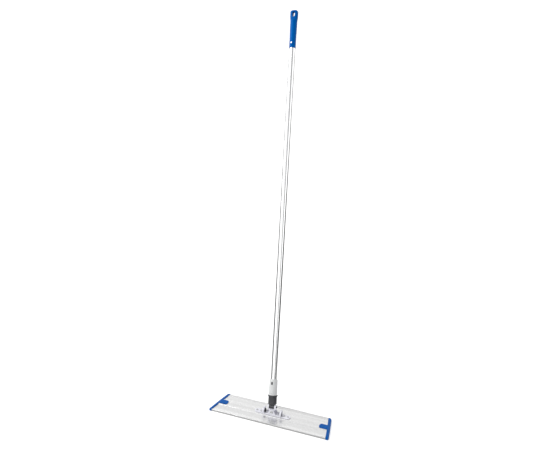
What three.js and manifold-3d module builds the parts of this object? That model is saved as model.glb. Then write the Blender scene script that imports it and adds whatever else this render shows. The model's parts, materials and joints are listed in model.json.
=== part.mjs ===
// A flat mop: an aluminium frame with hook strips underneath, a swivel joint with two crossed pins,
// and a long tube handle with a quick-release coupling.
// Millimetres, +Z up, +X along the frame, +Y towards its short edge. The origin is on the floor under
// the middle of the frame, where the middle hook strip touches it.
import * as THREE from "three";
import { mergeVertices } from "three/addons/utils/BufferGeometryUtils.js";
import Module from "manifold-3d";

const wasm = await Module();
wasm.setup();

// ---- Driving dimensions ----
const GAP = 0.3; // between pieces that touch
const THROUGH = 20; // half the length of a cutter that goes right through a small piece
const RUNNING_GAP = 0.2; // round a pin that turns in its hole
const ROUND = 32; // sides of a round piece
const SMALL_ROUND = 16; // sides of a rivet, a screw and their holes

// Frame: half lengths are to the centre line of the end bars, which bow outwards.
const FRONT_HALF_LENGTH = 232.6;
const BACK_HALF_LENGTH = 206.8;
const END_BOW = 1;
const END_BAR_HALF_WIDTH = 6;
const CAP_HALF_DEPTH = 60;
const PLATE_HALF_DEPTH = 59;
const LIP_BOTTOM = 1.2;
const LIP_THICKNESS = 1.8;
const WEB_UNDERSIDE = 4.2;
const WING_TOP = 6.4;
const WING_RISE = 0.4; // how much thicker a wing is at the foot of the ridge
const EDGE_BEAD_RADIUS = 1.8;
const RIDGE_HALF_WIDTH = 16.2; // at the top of its sloping sides
const RIDGE_SLOPE = 1.4;
const RIDGE_TOP = 8.6;
const RIDGE_WALL = 1.4;
const HOLLOW_HALF_WIDTH = RIDGE_HALF_WIDTH - 1.8; // the hollow under the ridge, open at both ends
const HOLLOW_BOTTOM = WEB_UNDERSIDE + 1;
const HOLLOW_TOP = RIDGE_TOP - RIDGE_WALL;
const CAP_END_TOP = 8.2;
const CAP_CROWN = 10.4; // the top of an end bar at its middle
const CAP_EDGE_TOP = 6.2; // the top of its outer side
const CAP_SLOPE = 8; // how far in from the outer side the bar's top slopes up to its crown
const CAP_END_ROUNDING = 7;
const TONGUE_TIP = 184;
const TONGUE_HALF_WIDTH = 12;
const TONGUE_FLARE = 4; // how much shorter the tongue's round tip is than a half circle
const CAP_SCREW_X = 204;
const SCREW_RADIUS = 1.6;
const SCREW_HEAD_RADIUS = 3.6;
const SCREW_TIP = 6.6;
const STRIP_WIDTH = 26;
const STRIP_OFFSET = 37;
const STRIP_INSET = 12; // from the end line of the plate to the end of a front or back strip
const MIDDLE_STRIP_WIDTH = 20;
const MIDDLE_STRIP_INSET = 32;

// Swivel joint: the roll pin lies front to back in the base, the pitch pin left to right above it.
const FOOT_HALF_LENGTH = 71;
const FOOT_HALF_WIDTH = 11.5;
const FOOT_BOTTOM = RIDGE_TOP + GAP;
const FOOT_TOP = FOOT_BOTTOM + 2.5;
const WALL_INNER = 9.4;
const WALL_OUTER = 12.6;
const WALL_FOOT = 17; // half the length of a wall where it meets its curb
const WALL_EYE_RADIUS = 9.4;
const CURB_TOP = FOOT_TOP + 2.5;
const POST_INNER = 31;
const POST_OUTER = 37;
const POST_SHOULDER = 24;
const POST_TOP = 31;
const POST_TOP_HALF_WIDTH = 7;
const STOP_HALF_WIDTH = 6;
const STOP_THICKNESS = 3.3;
const STOP_TOP = 24;
const RIVET_RADIUS = 2;
const RIVET_HEAD_RADIUS = 4;
const ROLL_PIN_Z = 25;
const PIN_SPACING = 16;
const ROLL_PIN_RADIUS = 3;
const PITCH_PIN_RADIUS = 2.5;
const ROLL_PIN_HEAD = 5.2;
const PITCH_PIN_HEAD = 4.2;
const PIN_END = 2.6; // how far a pin's end stands out of what it goes through
const PIN_HEAD_THICKNESS = 1.9;
const PIN_GROOVE = 2.4; // from a pin's far end to the start of its groove
const PIN_GROOVE_WIDTH = 1.2;
const PIN_GROOVE_DEPTH = 0.6;
const CLIP_THICKNESS = 0.9;
const WASHER_RADIUS = 6;
const WASHER_THICKNESS = 0.8;
const BARREL_RADIUS = 6.2;
const KNUCKLE_HALF_WIDTH = 17;
const KNUCKLE_HALF_DEPTH = 8;
const KNUCKLE_TAPER_TOP = 11; // the block is at its full width from here up
const SLOT_HALF_WIDTH = 10.9;
const SLOT_RADIUS = 8.8;
const LUG_RADIUS = 7.8;
const RIVET_XS = [-62, -47, 47, 62];

// Handle: heights are along its axis, from the pitch pin.
const LEAN_BACK = THREE.MathUtils.degToRad(22.3);
const LEAN_SIDE = THREE.MathUtils.degToRad(-5.8);
const NECK_END_RADIUS = 8;
const NECK_HALF_WIDTH = 10.4;
const NECK_HALF_DEPTH = 4.8;
const SHOULDER_BOTTOM = 8.8;
const SHOULDER_HALF_DEPTH = 6;
const COLLAR_RADIUS = 16;
const COLLAR_BOTTOM = 14;
const COLLAR_FLANGE = 38.5;
const FLANGE_RADIUS = 18.2;
const COLLAR_TOP = 43.8;
const RING_RADIUS = 16.5;
const RING_TOP = 46.9;
const FERRULE_RADIUS = 15.8;
const FERRULE_TAPER = 0.6;
const FERRULE_TOP = 103.4;
const SPIGOT_RADIUS = 9.7;
const SPIGOT_BORE = 7.2;
const SPIGOT_TOP = 100;
const TUBE_RADIUS = 11.2;
const TUBE_WALL = 1.1;
const TUBE_TOP = 1466;
const BUTTON_HEIGHT = 88;
const BUTTON_HALF_WIDTH = 2.5;
const BUTTON_HALF_LENGTH = 5;
const BUTTON_FACE = -16.3; // just out of the ferrule
const BUTTON_FLANGE = -6.1; // behind the spigot's wall
const SPRING_THICKNESS = 0.5;
const SPRING_HALF_WIDTH = 2;
const FERRULE_RIVET_HEIGHT = 64;
const GRIP_BOTTOM = 1357;
const GRIP_RADIUS = 12.7;
const GRIP_RIVET_HEIGHT = 1376;
const GRIP_NECK = 1471;
const GRIP_NECK_RADIUS = 13.4;
const GRIP_HEAD_HALF_WIDTH = 15;
const GRIP_HEAD_HALF_DEPTH = 9;
const GRIP_HEAD_CORNER = 8;
const GRIP_TOP = 1503.5;
const EYE_BOTTOM = 1477.5;
const EYE_TOP = 1497.5;
const EYE_HALF_WIDTH = 5.5;

// ---- Solids ----

// Rebuilds a triangle list as a solid.
function manifoldOf(vertProperties, triVerts) {
  return new wasm.Manifold(new wasm.Mesh({ numProp: 3, vertProperties, triVerts }));
}

// A closed geometry as a solid whose faces point out, whichever way round its outline ran.
function solid(geometry) {
  const loose = geometry.index ? geometry.toNonIndexed() : geometry;
  const bare = new THREE.BufferGeometry();
  bare.setAttribute("position", loose.getAttribute("position"));
  const merged = mergeVertices(bare, 1e-4);
  const corners = merged.index.array;
  const kept = [];
  for (let i = 0; i < corners.length; i += 3) {
    const [a, b, c] = corners.slice(i, i + 3);
    if (a !== b && b !== c && c !== a) kept.push(a, b, c);
  }
  const made = manifoldOf(merged.attributes.position.array, new Uint32Array(kept));
  if (made.volume() > 0) return made;
  return manifoldOf(merged.attributes.position.array, new Uint32Array(kept.reverse()));
}

// Where an outline's two directions and its depth point, for each plane that outlines are drawn in.
const PLANES = {
  xy: [[1, 0, 0], [0, 1, 0], [0, 0, 1]],
  yz: [[0, 1, 0], [0, 0, 1], [1, 0, 0]],
  xz: [[1, 0, 0], [0, 0, 1], [0, 1, 0]],
};

function drawnIn(plane, geometry) {
  const axes = PLANES[plane].map((v) => new THREE.Vector3(...v));
  return geometry.applyMatrix4(new THREE.Matrix4().makeBasis(...axes));
}

// An outline, as a Shape or a list of points, drawn in a plane and pushed through from one depth to another.
function prism(plane, outline, from, to) {
  const drawn = outline instanceof THREE.Shape;
  const shape = drawn ? outline : new THREE.Shape(outline.map((p) => new THREE.Vector2(...p)));
  const pushed = new THREE.ExtrudeGeometry(shape, {
    depth: to - from,
    bevelEnabled: false,
    curveSegments: 6,
  });
  return solid(drawnIn(plane, pushed.translate(0, 0, from)));
}

function box(x0, x1, y0, y1, z0, z1) {
  const made = new THREE.BoxGeometry(x1 - x0, y1 - y0, z1 - z0);
  return solid(made.translate((x0 + x1) / 2, (y0 + y1) / 2, (z0 + z1) / 2));
}

// A shape turned about an axis: its profile is a list of [radius, distance along the axis].
const UPRIGHT = new THREE.Matrix4().makeRotationX(Math.PI / 2);
const TO_AXIS = {
  z: new THREE.Matrix4(),
  y: new THREE.Matrix4().makeRotationX(-Math.PI / 2),
  x: new THREE.Matrix4().makeRotationY(Math.PI / 2),
};

function turned(axis, profile, sides = ROUND) {
  const points = profile.map(([r, t]) => new THREE.Vector2(r, t));
  const made = new THREE.LatheGeometry(points, sides);
  return solid(made.applyMatrix4(UPRIGHT).applyMatrix4(TO_AXIS[axis]));
}

function rod(axis, radius, from, to, sides = ROUND) {
  return turned(axis, [[0, from], [radius, from], [radius, to], [0, to]], sides);
}

function ring(axis, inner, outer, from, to, sides = ROUND) {
  return turned(axis, [[inner, from], [outer, from], [outer, to], [inner, to], [inner, from]], sides);
}

// A flat outline with round ends, long in its second direction.
function stadium(halfWidth, low, high) {
  const shape = new THREE.Shape();
  shape.absarc(0, low + halfWidth, halfWidth, Math.PI, 2 * Math.PI, false);
  shape.absarc(0, high - halfWidth, halfWidth, 0, Math.PI, false);
  return shape;
}

// The same piece on the other side of the middle plane x = 0 or y = 0.
function mirrored(piece, axis) {
  return piece.mirror(axis === "x" ? [1, 0, 0] : [0, 1, 0]);
}

function withMirror(piece, axis) {
  return piece.add(mirrored(piece, axis));
}

// ---- Materials ----
function material(color, roughness, metalness = 0) {
  return new THREE.MeshStandardMaterial({ color, roughness, metalness });
}

const ALUMINIUM = material(0xd4d5d6, 0.35, 0.9);
const TUBE_ALUMINIUM = material(0xc9cbcc, 0.25, 1);
const STEEL = material(0xa9abad, 0.3, 1);
const BLUE_PLASTIC = material(0x0b57a8, 0.4);
const PALE_PLASTIC = material(0xdcdce2, 0.5);
const CREAM_PLASTIC = material(0xdadbd4, 0.5);
const GREY_PLASTIC = material(0x4a4b4f, 0.45);
const FERRULE_PLASTIC = material(0xc6c9c9, 0.4);
const WHITE_PLASTIC = material(0xf0f1f1, 0.4);
const RUBBER = material(0x26282a, 0.8);
const HOOK_TAPE = material(0xdddddb, 0.9);

function mesh(name, piece, finish) {
  const { vertProperties, triVerts } = piece.getMesh();
  const geometry = new THREE.BufferGeometry();
  geometry.setAttribute("position", new THREE.BufferAttribute(new Float32Array(vertProperties), 3));
  geometry.setIndex(new THREE.BufferAttribute(new Uint32Array(triVerts), 1));
  const flat = geometry.toNonIndexed();
  flat.computeVertexNormals();
  const made = new THREE.Mesh(flat, finish);
  made.name = name;
  return made;
}

// ---- Frame ----

// How far out the centre line of an end bar is, at a depth y.
function endLine(y) {
  const along = (y + CAP_HALF_DEPTH) / (2 * CAP_HALF_DEPTH);
  const straight = FRONT_HALF_LENGTH + (BACK_HALF_LENGTH - FRONT_HALF_LENGTH) * along;
  return straight + END_BOW * (1 - (y / CAP_HALF_DEPTH) ** 2);
}

// Depths from front to back, closer together near both ends.
function depths(half, count) {
  return Array.from({ length: count + 1 }, (_, i) => -half * Math.cos((Math.PI * i) / count));
}

// The plan of a piece that ends a given distance inside both end lines.
function planBetweenEnds(halfDepth, inset) {
  const right = depths(halfDepth, 12).map((y) => [endLine(y) - inset, y]);
  const left = right.map(([x, y]) => [-x, y]).reverse();
  return [...right, ...left];
}

// Half of the plate's section, from the middle of its underside round to the middle of its ridge.
function plateSection() {
  const bead = EDGE_BEAD_RADIUS;
  const beadY = PLATE_HALF_DEPTH - bead;
  const shape = new THREE.Shape();
  shape.moveTo(0, WEB_UNDERSIDE);
  shape.lineTo(PLATE_HALF_DEPTH - LIP_THICKNESS, WEB_UNDERSIDE);
  shape.lineTo(PLATE_HALF_DEPTH - LIP_THICKNESS, LIP_BOTTOM);
  shape.lineTo(PLATE_HALF_DEPTH, LIP_BOTTOM);
  shape.absarc(beadY, WING_TOP, bead, 0, Math.PI, false);
  shape.lineTo(beadY - bead - 0.8, WING_TOP);
  shape.lineTo(RIDGE_HALF_WIDTH + RIDGE_SLOPE, WING_TOP + WING_RISE);
  shape.lineTo(RIDGE_HALF_WIDTH, RIDGE_TOP);
  shape.lineTo(0, RIDGE_TOP);
  return shape;
}

function framePlate() {
  const reach = FRONT_HALF_LENGTH + END_BOW;
  const wide = HOLLOW_HALF_WIDTH;
  const half = prism("yz", plateSection(), -reach, reach);
  const hollow = box(-reach - 1, reach + 1, -wide, wide, HOLLOW_BOTTOM, HOLLOW_TOP);
  const plan = prism("xy", planBetweenEnds(CAP_HALF_DEPTH, END_BAR_HALF_WIDTH + GAP), 0, 2 * RIDGE_TOP);
  let plate = withMirror(half, "y").subtract(hollow).intersect(plan);
  for (const x of RIVET_XS) {
    const hole = rod("z", RIVET_RADIUS + GAP, HOLLOW_TOP - 1, RIDGE_TOP + 1, SMALL_ROUND);
    plate = plate.subtract(hole.translate(x, 0, 0));
  }
  for (const side of [-1, 1]) {
    const hole = rod("z", SCREW_RADIUS + GAP, WEB_UNDERSIDE - 1, HOLLOW_BOTTOM + 0.5, SMALL_ROUND);
    plate = plate.subtract(hole.translate(side * CAP_SCREW_X, 0, 0));
  }
  return plate;
}

// Half the width of an end bar on its outer side, which draws in round both ends.
function outerHalfWidth(y) {
  const intoCorner = Math.max(0, Math.abs(y) - CAP_HALF_DEPTH + CAP_END_ROUNDING) / CAP_END_ROUNDING;
  return END_BAR_HALF_WIDTH * Math.sqrt(Math.max(0, 1 - intoCorner ** 2));
}

// The side of an end bar: a low arch from its front end to its back end.
function capProfile() {
  const inner = CAP_HALF_DEPTH - 1.5;
  const rise = CAP_CROWN - CAP_END_TOP;
  const arch = depths(inner, 16).map((y) => [y, CAP_END_TOP + rise * (1 - (y / inner) ** 2)]);
  const corner = CAP_END_TOP - 1.2;
  return [
    [-CAP_HALF_DEPTH, LIP_BOTTOM], [-CAP_HALF_DEPTH, corner], ...arch, [CAP_HALF_DEPTH, corner],
    [CAP_HALF_DEPTH, LIP_BOTTOM],
  ];
}

// What lies under the slope that an end bar's top makes down to its outer side.
function underCapSlope() {
  const height = 2 * CAP_CROWN;
  const run = (CAP_SLOPE * (height - CAP_EDGE_TOP)) / (CAP_CROWN - CAP_EDGE_TOP);
  const outline = [[-4 * THROUGH, 0], [0, 0], [0, CAP_EDGE_TOP], [-run, height], [-4 * THROUGH, height]];
  const turn = Math.atan((FRONT_HALF_LENGTH - BACK_HALF_LENGTH) / (2 * CAP_HALF_DEPTH));
  const middle = endLine(0) + END_BAR_HALF_WIDTH / Math.cos(turn);
  return prism("xz", outline, -2 * CAP_HALF_DEPTH, 2 * CAP_HALF_DEPTH)
    .rotate(0, 0, THREE.MathUtils.radToDeg(turn))
    .translate(middle, 0, 0);
}

function tonguePlan(root) {
  const shape = new THREE.Shape();
  const tipCentre = TONGUE_TIP + TONGUE_HALF_WIDTH - TONGUE_FLARE;
  shape.moveTo(root, -TONGUE_HALF_WIDTH);
  shape.lineTo(tipCentre, -TONGUE_HALF_WIDTH);
  shape.absellipse(
    tipCentre, 0,
    TONGUE_HALF_WIDTH - TONGUE_FLARE, TONGUE_HALF_WIDTH,
    -Math.PI / 2, Math.PI / 2, true,
  );
  shape.lineTo(root, TONGUE_HALF_WIDTH);
  return shape;
}

// A bar along the end of the plate, with a tongue that lies on the ridge and a plug in its hollow.
function endCap() {
  const ys = depths(CAP_HALF_DEPTH, 24);
  const outline = [
    ...ys.map((y) => [endLine(y) + outerHalfWidth(y), y]),
    ...ys.slice(1, -1).reverse().map((y) => [endLine(y) - END_BAR_HALF_WIDTH, y]),
  ];
  const outside = FRONT_HALF_LENGTH + END_BOW + 2 * END_BAR_HALF_WIDTH;
  const side = prism("yz", capProfile(), 0, outside);
  const bar = prism("xy", outline, 0, 2 * CAP_CROWN).intersect(side).intersect(underCapSlope());
  const root = endLine(0) - END_BAR_HALF_WIDTH + 2;
  const tongue = prism("xy", tonguePlan(root), FOOT_BOTTOM, CAP_CROWN);
  const plugHalf = HOLLOW_HALF_WIDTH - GAP;
  const plug = box(CAP_SCREW_X - 8, root, -plugHalf, plugHalf, HOLLOW_BOTTOM + GAP, HOLLOW_TOP - GAP);
  const hole = rod("z", SCREW_RADIUS + GAP, HOLLOW_BOTTOM - 1, HOLLOW_TOP, SMALL_ROUND);
  return bar.add(tongue).add(plug).subtract(hole.translate(CAP_SCREW_X, 0, 0));
}

// A flush screw from below, through the plate's web into the cap's plug.
function capScrew() {
  const head = WEB_UNDERSIDE - GAP;
  return turned("z", [
    [0, head - 1.5], [SCREW_HEAD_RADIUS - 1, head - 1.5], [SCREW_HEAD_RADIUS, head - 0.9],
    [SCREW_HEAD_RADIUS, head], [SCREW_RADIUS, head], [SCREW_RADIUS, SCREW_TIP - 0.8], [0, SCREW_TIP],
  ], SMALL_ROUND);
}

// A strip of hook tape under the plate, its ends cut to follow the ends of the plate.
function hookStrip(y, width, inset) {
  const reach = FRONT_HALF_LENGTH;
  const plan = planBetweenEnds(CAP_HALF_DEPTH, inset);
  const band = box(-reach, reach, y - width / 2, y + width / 2, 0, WEB_UNDERSIDE - GAP);
  return band.intersect(prism("xy", plan, -1, WEB_UNDERSIDE));
}

// ---- Swivel base ----

// One wall: a round eye about the roll pin, sides that slope off it, and a low curb out to the posts.
function wallOutline() {
  const fromPin = new THREE.Vector2(WALL_FOOT, CURB_TOP - ROLL_PIN_Z);
  const tangent = fromPin.angle() + Math.acos(WALL_EYE_RADIUS / fromPin.length()) - 2 * Math.PI;
  const shape = new THREE.Shape();
  shape.moveTo(-POST_OUTER, FOOT_BOTTOM);
  shape.lineTo(POST_OUTER, FOOT_BOTTOM);
  shape.lineTo(POST_OUTER, CURB_TOP);
  shape.lineTo(WALL_FOOT, CURB_TOP);
  shape.absarc(0, ROLL_PIN_Z, WALL_EYE_RADIUS, tangent, Math.PI - tangent, false);
  shape.lineTo(-WALL_FOOT, CURB_TOP);
  shape.lineTo(-POST_OUTER, CURB_TOP);
  return shape;
}

// A foot along the ridge, two walls across it for the roll pin, and a post at each side.
function swivelBase() {
  const straight = FOOT_HALF_LENGTH - FOOT_HALF_WIDTH;
  const plan = new THREE.Shape();
  plan.absarc(straight, 0, FOOT_HALF_WIDTH, -Math.PI / 2, Math.PI / 2, false);
  plan.absarc(-straight, 0, FOOT_HALF_WIDTH, Math.PI / 2, 1.5 * Math.PI, false);
  const foot = prism("xy", plan, FOOT_BOTTOM, FOOT_TOP);
  const wall = prism("xz", wallOutline(), WALL_INNER, WALL_OUTER);
  const postOutline = [
    [-WALL_OUTER, FOOT_BOTTOM], [WALL_OUTER, FOOT_BOTTOM], [WALL_OUTER, POST_SHOULDER],
    [POST_TOP_HALF_WIDTH, POST_TOP], [-POST_TOP_HALF_WIDTH, POST_TOP], [-WALL_OUTER, POST_SHOULDER],
  ];
  const post = prism("yz", postOutline, POST_INNER, POST_OUTER);
  const pinHole = rod("y", ROLL_PIN_RADIUS + RUNNING_GAP, -THROUGH, THROUGH).translate(0, 0, ROLL_PIN_Z);
  let base = foot.add(withMirror(wall, "y")).add(withMirror(post, "x")).subtract(pinHole);
  for (const x of RIVET_XS) {
    const hole = rod("z", RIVET_RADIUS + GAP, FOOT_BOTTOM - 1, FOOT_TOP + 1, SMALL_ROUND);
    base = base.subtract(hole.translate(x, 0, 0));
  }
  return base;
}

// A blind rivet: a low head on the foot, and a set end inside the ridge's hollow.
function baseRivet() {
  const seat = FOOT_TOP + GAP;
  return turned("z", [
    [0, HOLLOW_TOP - 1.6], [RIVET_RADIUS + 1, HOLLOW_TOP - 1.2], [RIVET_RADIUS + 1, HOLLOW_TOP - GAP],
    [RIVET_RADIUS, HOLLOW_TOP - GAP], [RIVET_RADIUS, seat], [RIVET_HEAD_RADIUS, seat],
    [RIVET_HEAD_RADIUS - 0.6, seat + 0.9], [0, seat + 1.5],
  ], SMALL_ROUND);
}

// A soft stop on the inner face of a post, which the pitch pin's end comes to when the handle is laid
// over sideways.
function rollStop() {
  const back = POST_INNER - GAP;
  return box(back - STOP_THICKNESS, back, -STOP_HALF_WIDTH, STOP_HALF_WIDTH, FOOT_TOP + GAP, STOP_TOP);
}

// A headed pin with a groove near its far end, along +axis.
function headedPin(axis, radius, head, from, to) {
  const face = from - PIN_HEAD_THICKNESS;
  const groove = to - PIN_GROOVE;
  const waist = radius - PIN_GROOVE_DEPTH;
  return turned(axis, [
    [0, face], [head - 1, face], [head, face + 0.8], [head, from], [radius, from], [radius, groove],
    [waist, groove], [waist, groove + PIN_GROOVE_WIDTH], [radius, groove + PIN_GROOVE_WIDTH],
    [radius, to - 0.4], [radius - 0.4, to], [0, to],
  ]);
}

// The open ring that snaps into a pin's groove, its mouth upwards.
function pinClip(axis, radius, outer, to) {
  const slack = (PIN_GROOVE_WIDTH - CLIP_THICKNESS) / 2;
  const start = to - PIN_GROOVE + slack;
  const band = ring(axis, radius - PIN_GROOVE_DEPTH + slack, outer, start, start + CLIP_THICKNESS);
  const mouth = [-radius + PIN_GROOVE_DEPTH, radius - PIN_GROOVE_DEPTH];
  const along = [start - 1, start + CLIP_THICKNESS + 1];
  const sides = axis === "y" ? [...mouth, ...along] : [...along, ...mouth];
  return band.subtract(box(...sides, 0, 2 * outer));
}

// ---- Knuckle: it turns on the roll pin, and its two lugs hold the pitch pin ----
function knuckle() {
  const wide = KNUCKLE_HALF_WIDTH;
  const deep = KNUCKLE_HALF_DEPTH;
  const top = PIN_SPACING + LUG_RADIUS + 6;
  const front = [
    [-6, -1], [6, -1], [wide, KNUCKLE_TAPER_TOP], [wide, top], [-wide, top], [-wide, KNUCKLE_TAPER_TOP],
  ];
  const side = new THREE.Shape();
  side.moveTo(-deep, -deep);
  side.lineTo(deep, -deep);
  side.lineTo(deep, PIN_SPACING - 4);
  side.absarc(0, PIN_SPACING, LUG_RADIUS, 0, Math.PI, false);
  side.lineTo(-deep, PIN_SPACING - 4);
  const block = prism("xz", front, -deep, deep).intersect(prism("yz", side, -THROUGH, THROUGH));
  const barrel = rod("y", BARREL_RADIUS, -deep, deep);
  const slot = rod("x", SLOT_RADIUS, -SLOT_HALF_WIDTH, SLOT_HALF_WIDTH).translate(0, 0, PIN_SPACING)
    .add(box(-SLOT_HALF_WIDTH, SLOT_HALF_WIDTH, -THROUGH, THROUGH, PIN_SPACING, 2 * top));
  const rollHole = rod("y", ROLL_PIN_RADIUS + RUNNING_GAP, -THROUGH, THROUGH);
  const pitchHole = rod("x", PITCH_PIN_RADIUS + RUNNING_GAP, -THROUGH, THROUGH);
  return block.add(barrel).subtract(slot).subtract(rollHole)
    .subtract(pitchHole.translate(0, 0, PIN_SPACING));
}

// ---- Coupling: a neck between the lugs, a collar, and a hollow spigot inside the tube ----
function coupling() {
  const meeting = COLLAR_BOTTOM + 1;
  const neckTurn = Math.acos(NECK_HALF_DEPTH / NECK_END_RADIUS);
  const side = new THREE.Shape();
  side.absarc(0, 0, NECK_END_RADIUS, Math.PI - neckTurn, 2 * Math.PI + neckTurn, false);
  side.lineTo(NECK_HALF_DEPTH, meeting);
  side.lineTo(-NECK_HALF_DEPTH, meeting);
  const neck = prism("yz", side, -NECK_HALF_WIDTH, NECK_HALF_WIDTH);
  const reach = COLLAR_RADIUS - 0.6;
  const shoulders = box(-reach, reach, -SHOULDER_HALF_DEPTH, SHOULDER_HALF_DEPTH, SHOULDER_BOTTOM, meeting);
  const boreBottom = COLLAR_TOP + 8;
  const body = turned("z", [
    [0, COLLAR_BOTTOM], [COLLAR_RADIUS - 0.8, COLLAR_BOTTOM], [COLLAR_RADIUS, COLLAR_BOTTOM + 1],
    [COLLAR_RADIUS, COLLAR_FLANGE], [FLANGE_RADIUS, COLLAR_FLANGE + 1.2], [FLANGE_RADIUS, COLLAR_TOP - 0.6],
    [FLANGE_RADIUS - 0.6, COLLAR_TOP], [SPIGOT_RADIUS, COLLAR_TOP], [SPIGOT_RADIUS, SPIGOT_TOP - 1],
    [SPIGOT_RADIUS - 0.8, SPIGOT_TOP], [SPIGOT_BORE, SPIGOT_TOP], [SPIGOT_BORE, boreBottom],
    [0, boreBottom],
  ]);
  const pinHole = rod("x", PITCH_PIN_RADIUS + RUNNING_GAP, -THROUGH, THROUGH);
  return neck.add(shoulders).add(body).subtract(pinHole).subtract(buttonHole());
}

// The hole for the button, through the front of the ferrule, tube and spigot.
function buttonHole() {
  const low = BUTTON_HEIGHT - BUTTON_HALF_LENGTH - GAP;
  const high = BUTTON_HEIGHT + BUTTON_HALF_LENGTH + GAP;
  return prism("xz", stadium(BUTTON_HALF_WIDTH + GAP, low, high), -2 * THROUGH, 0);
}

// The button: a stem whose face stands out of the ferrule, and a flange inside the spigot.
function releaseButton() {
  const low = BUTTON_HEIGHT - BUTTON_HALF_LENGTH;
  const high = BUTTON_HEIGHT + BUTTON_HALF_LENGTH;
  const half = BUTTON_HALF_WIDTH;
  const back = BUTTON_FLANGE + 1;
  const crown = prism("xz", stadium(half - 0.5, low + 0.5, high - 0.5), BUTTON_FACE, back);
  const stem = prism("xz", stadium(half, low, high), BUTTON_FACE + 0.5, back);
  const flange = box(-half - 0.5, half + 0.5, BUTTON_FLANGE, back, low - 1.5, high + 1.5);
  return crown.add(stem).add(flange);
}

// A leaf spring, folded like a hairpin, between the back of the button and the far wall of the spigot.
function buttonSpring() {
  const low = BUTTON_HEIGHT - 8;
  const high = BUTTON_HEIGHT + 3;
  const bend = low + 3; // where the legs start to come together
  const near = BUTTON_FLANGE + 1 + GAP;
  const far = SPIGOT_BORE - 1.1;
  const leaf = SPRING_THICKNESS;
  const outline = [
    [near, high], [near + leaf, high], [near + leaf, bend], [1, low], [far - leaf, bend],
    [far - leaf, high], [far, high], [far, bend - 0.4], [1, low - 1], [near, bend - 0.4],
  ];
  return prism("yz", outline, -SPRING_HALF_WIDTH, SPRING_HALF_WIDTH);
}

// ---- Handle ----
function ferruleRing() {
  const bore = SPIGOT_RADIUS + GAP;
  const bottom = COLLAR_TOP + GAP;
  return turned("z", [
    [bore, bottom], [RING_RADIUS - 0.5, bottom], [RING_RADIUS, bottom + 0.5],
    [RING_RADIUS, RING_TOP - 0.5], [RING_RADIUS - 0.5, RING_TOP], [bore, RING_TOP], [bore, bottom],
  ]);
}

function ferrule() {
  const bore = TUBE_RADIUS + GAP;
  const bottom = RING_TOP + GAP;
  const narrow = FERRULE_RADIUS - FERRULE_TAPER;
  const sleeve = turned("z", [
    [bore, bottom], [FERRULE_RADIUS, bottom], [FERRULE_RADIUS, FERRULE_RIVET_HEIGHT - 2],
    [narrow, FERRULE_TOP - 6], [narrow - 1.4, FERRULE_TOP - 1.5],
    [bore + 1.1, FERRULE_TOP], [bore, FERRULE_TOP], [bore, bottom],
  ]);
  return sleeve.subtract(buttonHole()).subtract(ferruleRivetHole());
}

function ferruleRivetHole() {
  const hole = rod("y", RIVET_RADIUS + GAP, 0, 2 * THROUGH, SMALL_ROUND);
  return hole.translate(0, 0, FERRULE_RIVET_HEIGHT);
}

function gripRivetHole() {
  const hole = rod("y", RIVET_RADIUS + GAP, -2 * THROUGH, 0, SMALL_ROUND);
  return hole.translate(0, 0, GRIP_RIVET_HEIGHT);
}

// A rivet through the back of the ferrule and the tube's wall.
function ferruleRivet() {
  const inner = TUBE_RADIUS - TUBE_WALL;
  const seat = FERRULE_RADIUS + 0.2 + GAP;
  const rivet = turned("y", [
    [0, inner], [RIVET_RADIUS, inner], [RIVET_RADIUS, seat], [RIVET_HEAD_RADIUS - 0.4, seat],
    [RIVET_HEAD_RADIUS - 1, seat + 0.9], [0, seat + 1.3],
  ], SMALL_ROUND);
  return rivet.translate(0, 0, FERRULE_RIVET_HEIGHT);
}

function handleTube() {
  const tube = ring("z", TUBE_RADIUS - TUBE_WALL, TUBE_RADIUS, RING_TOP + GAP, TUBE_TOP);
  return tube.subtract(buttonHole()).subtract(ferruleRivetHole()).subtract(gripRivetHole());
}

// The front of the grip's head, which spreads from the neck to a round-cornered eye.
function gripHeadFront() {
  const wide = GRIP_HEAD_HALF_WIDTH;
  const corner = GRIP_HEAD_CORNER;
  const shape = new THREE.Shape();
  shape.moveTo(-GRIP_NECK_RADIUS, GRIP_NECK - 4);
  shape.lineTo(GRIP_NECK_RADIUS, GRIP_NECK - 4);
  shape.lineTo(GRIP_NECK_RADIUS + 0.1, GRIP_NECK);
  shape.lineTo(wide, EYE_BOTTOM + 1);
  shape.absarc(wide - corner, GRIP_TOP - corner, corner, 0, Math.PI / 2, false);
  shape.absarc(corner - wide, GRIP_TOP - corner, corner, Math.PI / 2, Math.PI, false);
  shape.lineTo(-wide, EYE_BOTTOM + 1);
  shape.lineTo(-GRIP_NECK_RADIUS - 0.1, GRIP_NECK);
  return shape;
}

// The side of the grip's head, which flattens from the neck to the eye.
function gripHeadSide() {
  const deep = GRIP_HEAD_HALF_DEPTH;
  const back = [
    [GRIP_NECK_RADIUS, GRIP_NECK - 4], [GRIP_NECK_RADIUS - 0.4, GRIP_NECK], [deep, EYE_BOTTOM + 1],
    [deep - 0.6, GRIP_TOP - 3], [deep - 2.6, GRIP_TOP],
  ];
  const front = back.map(([y, z]) => [-y, z]).reverse();
  return [...front, ...back];
}

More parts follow.
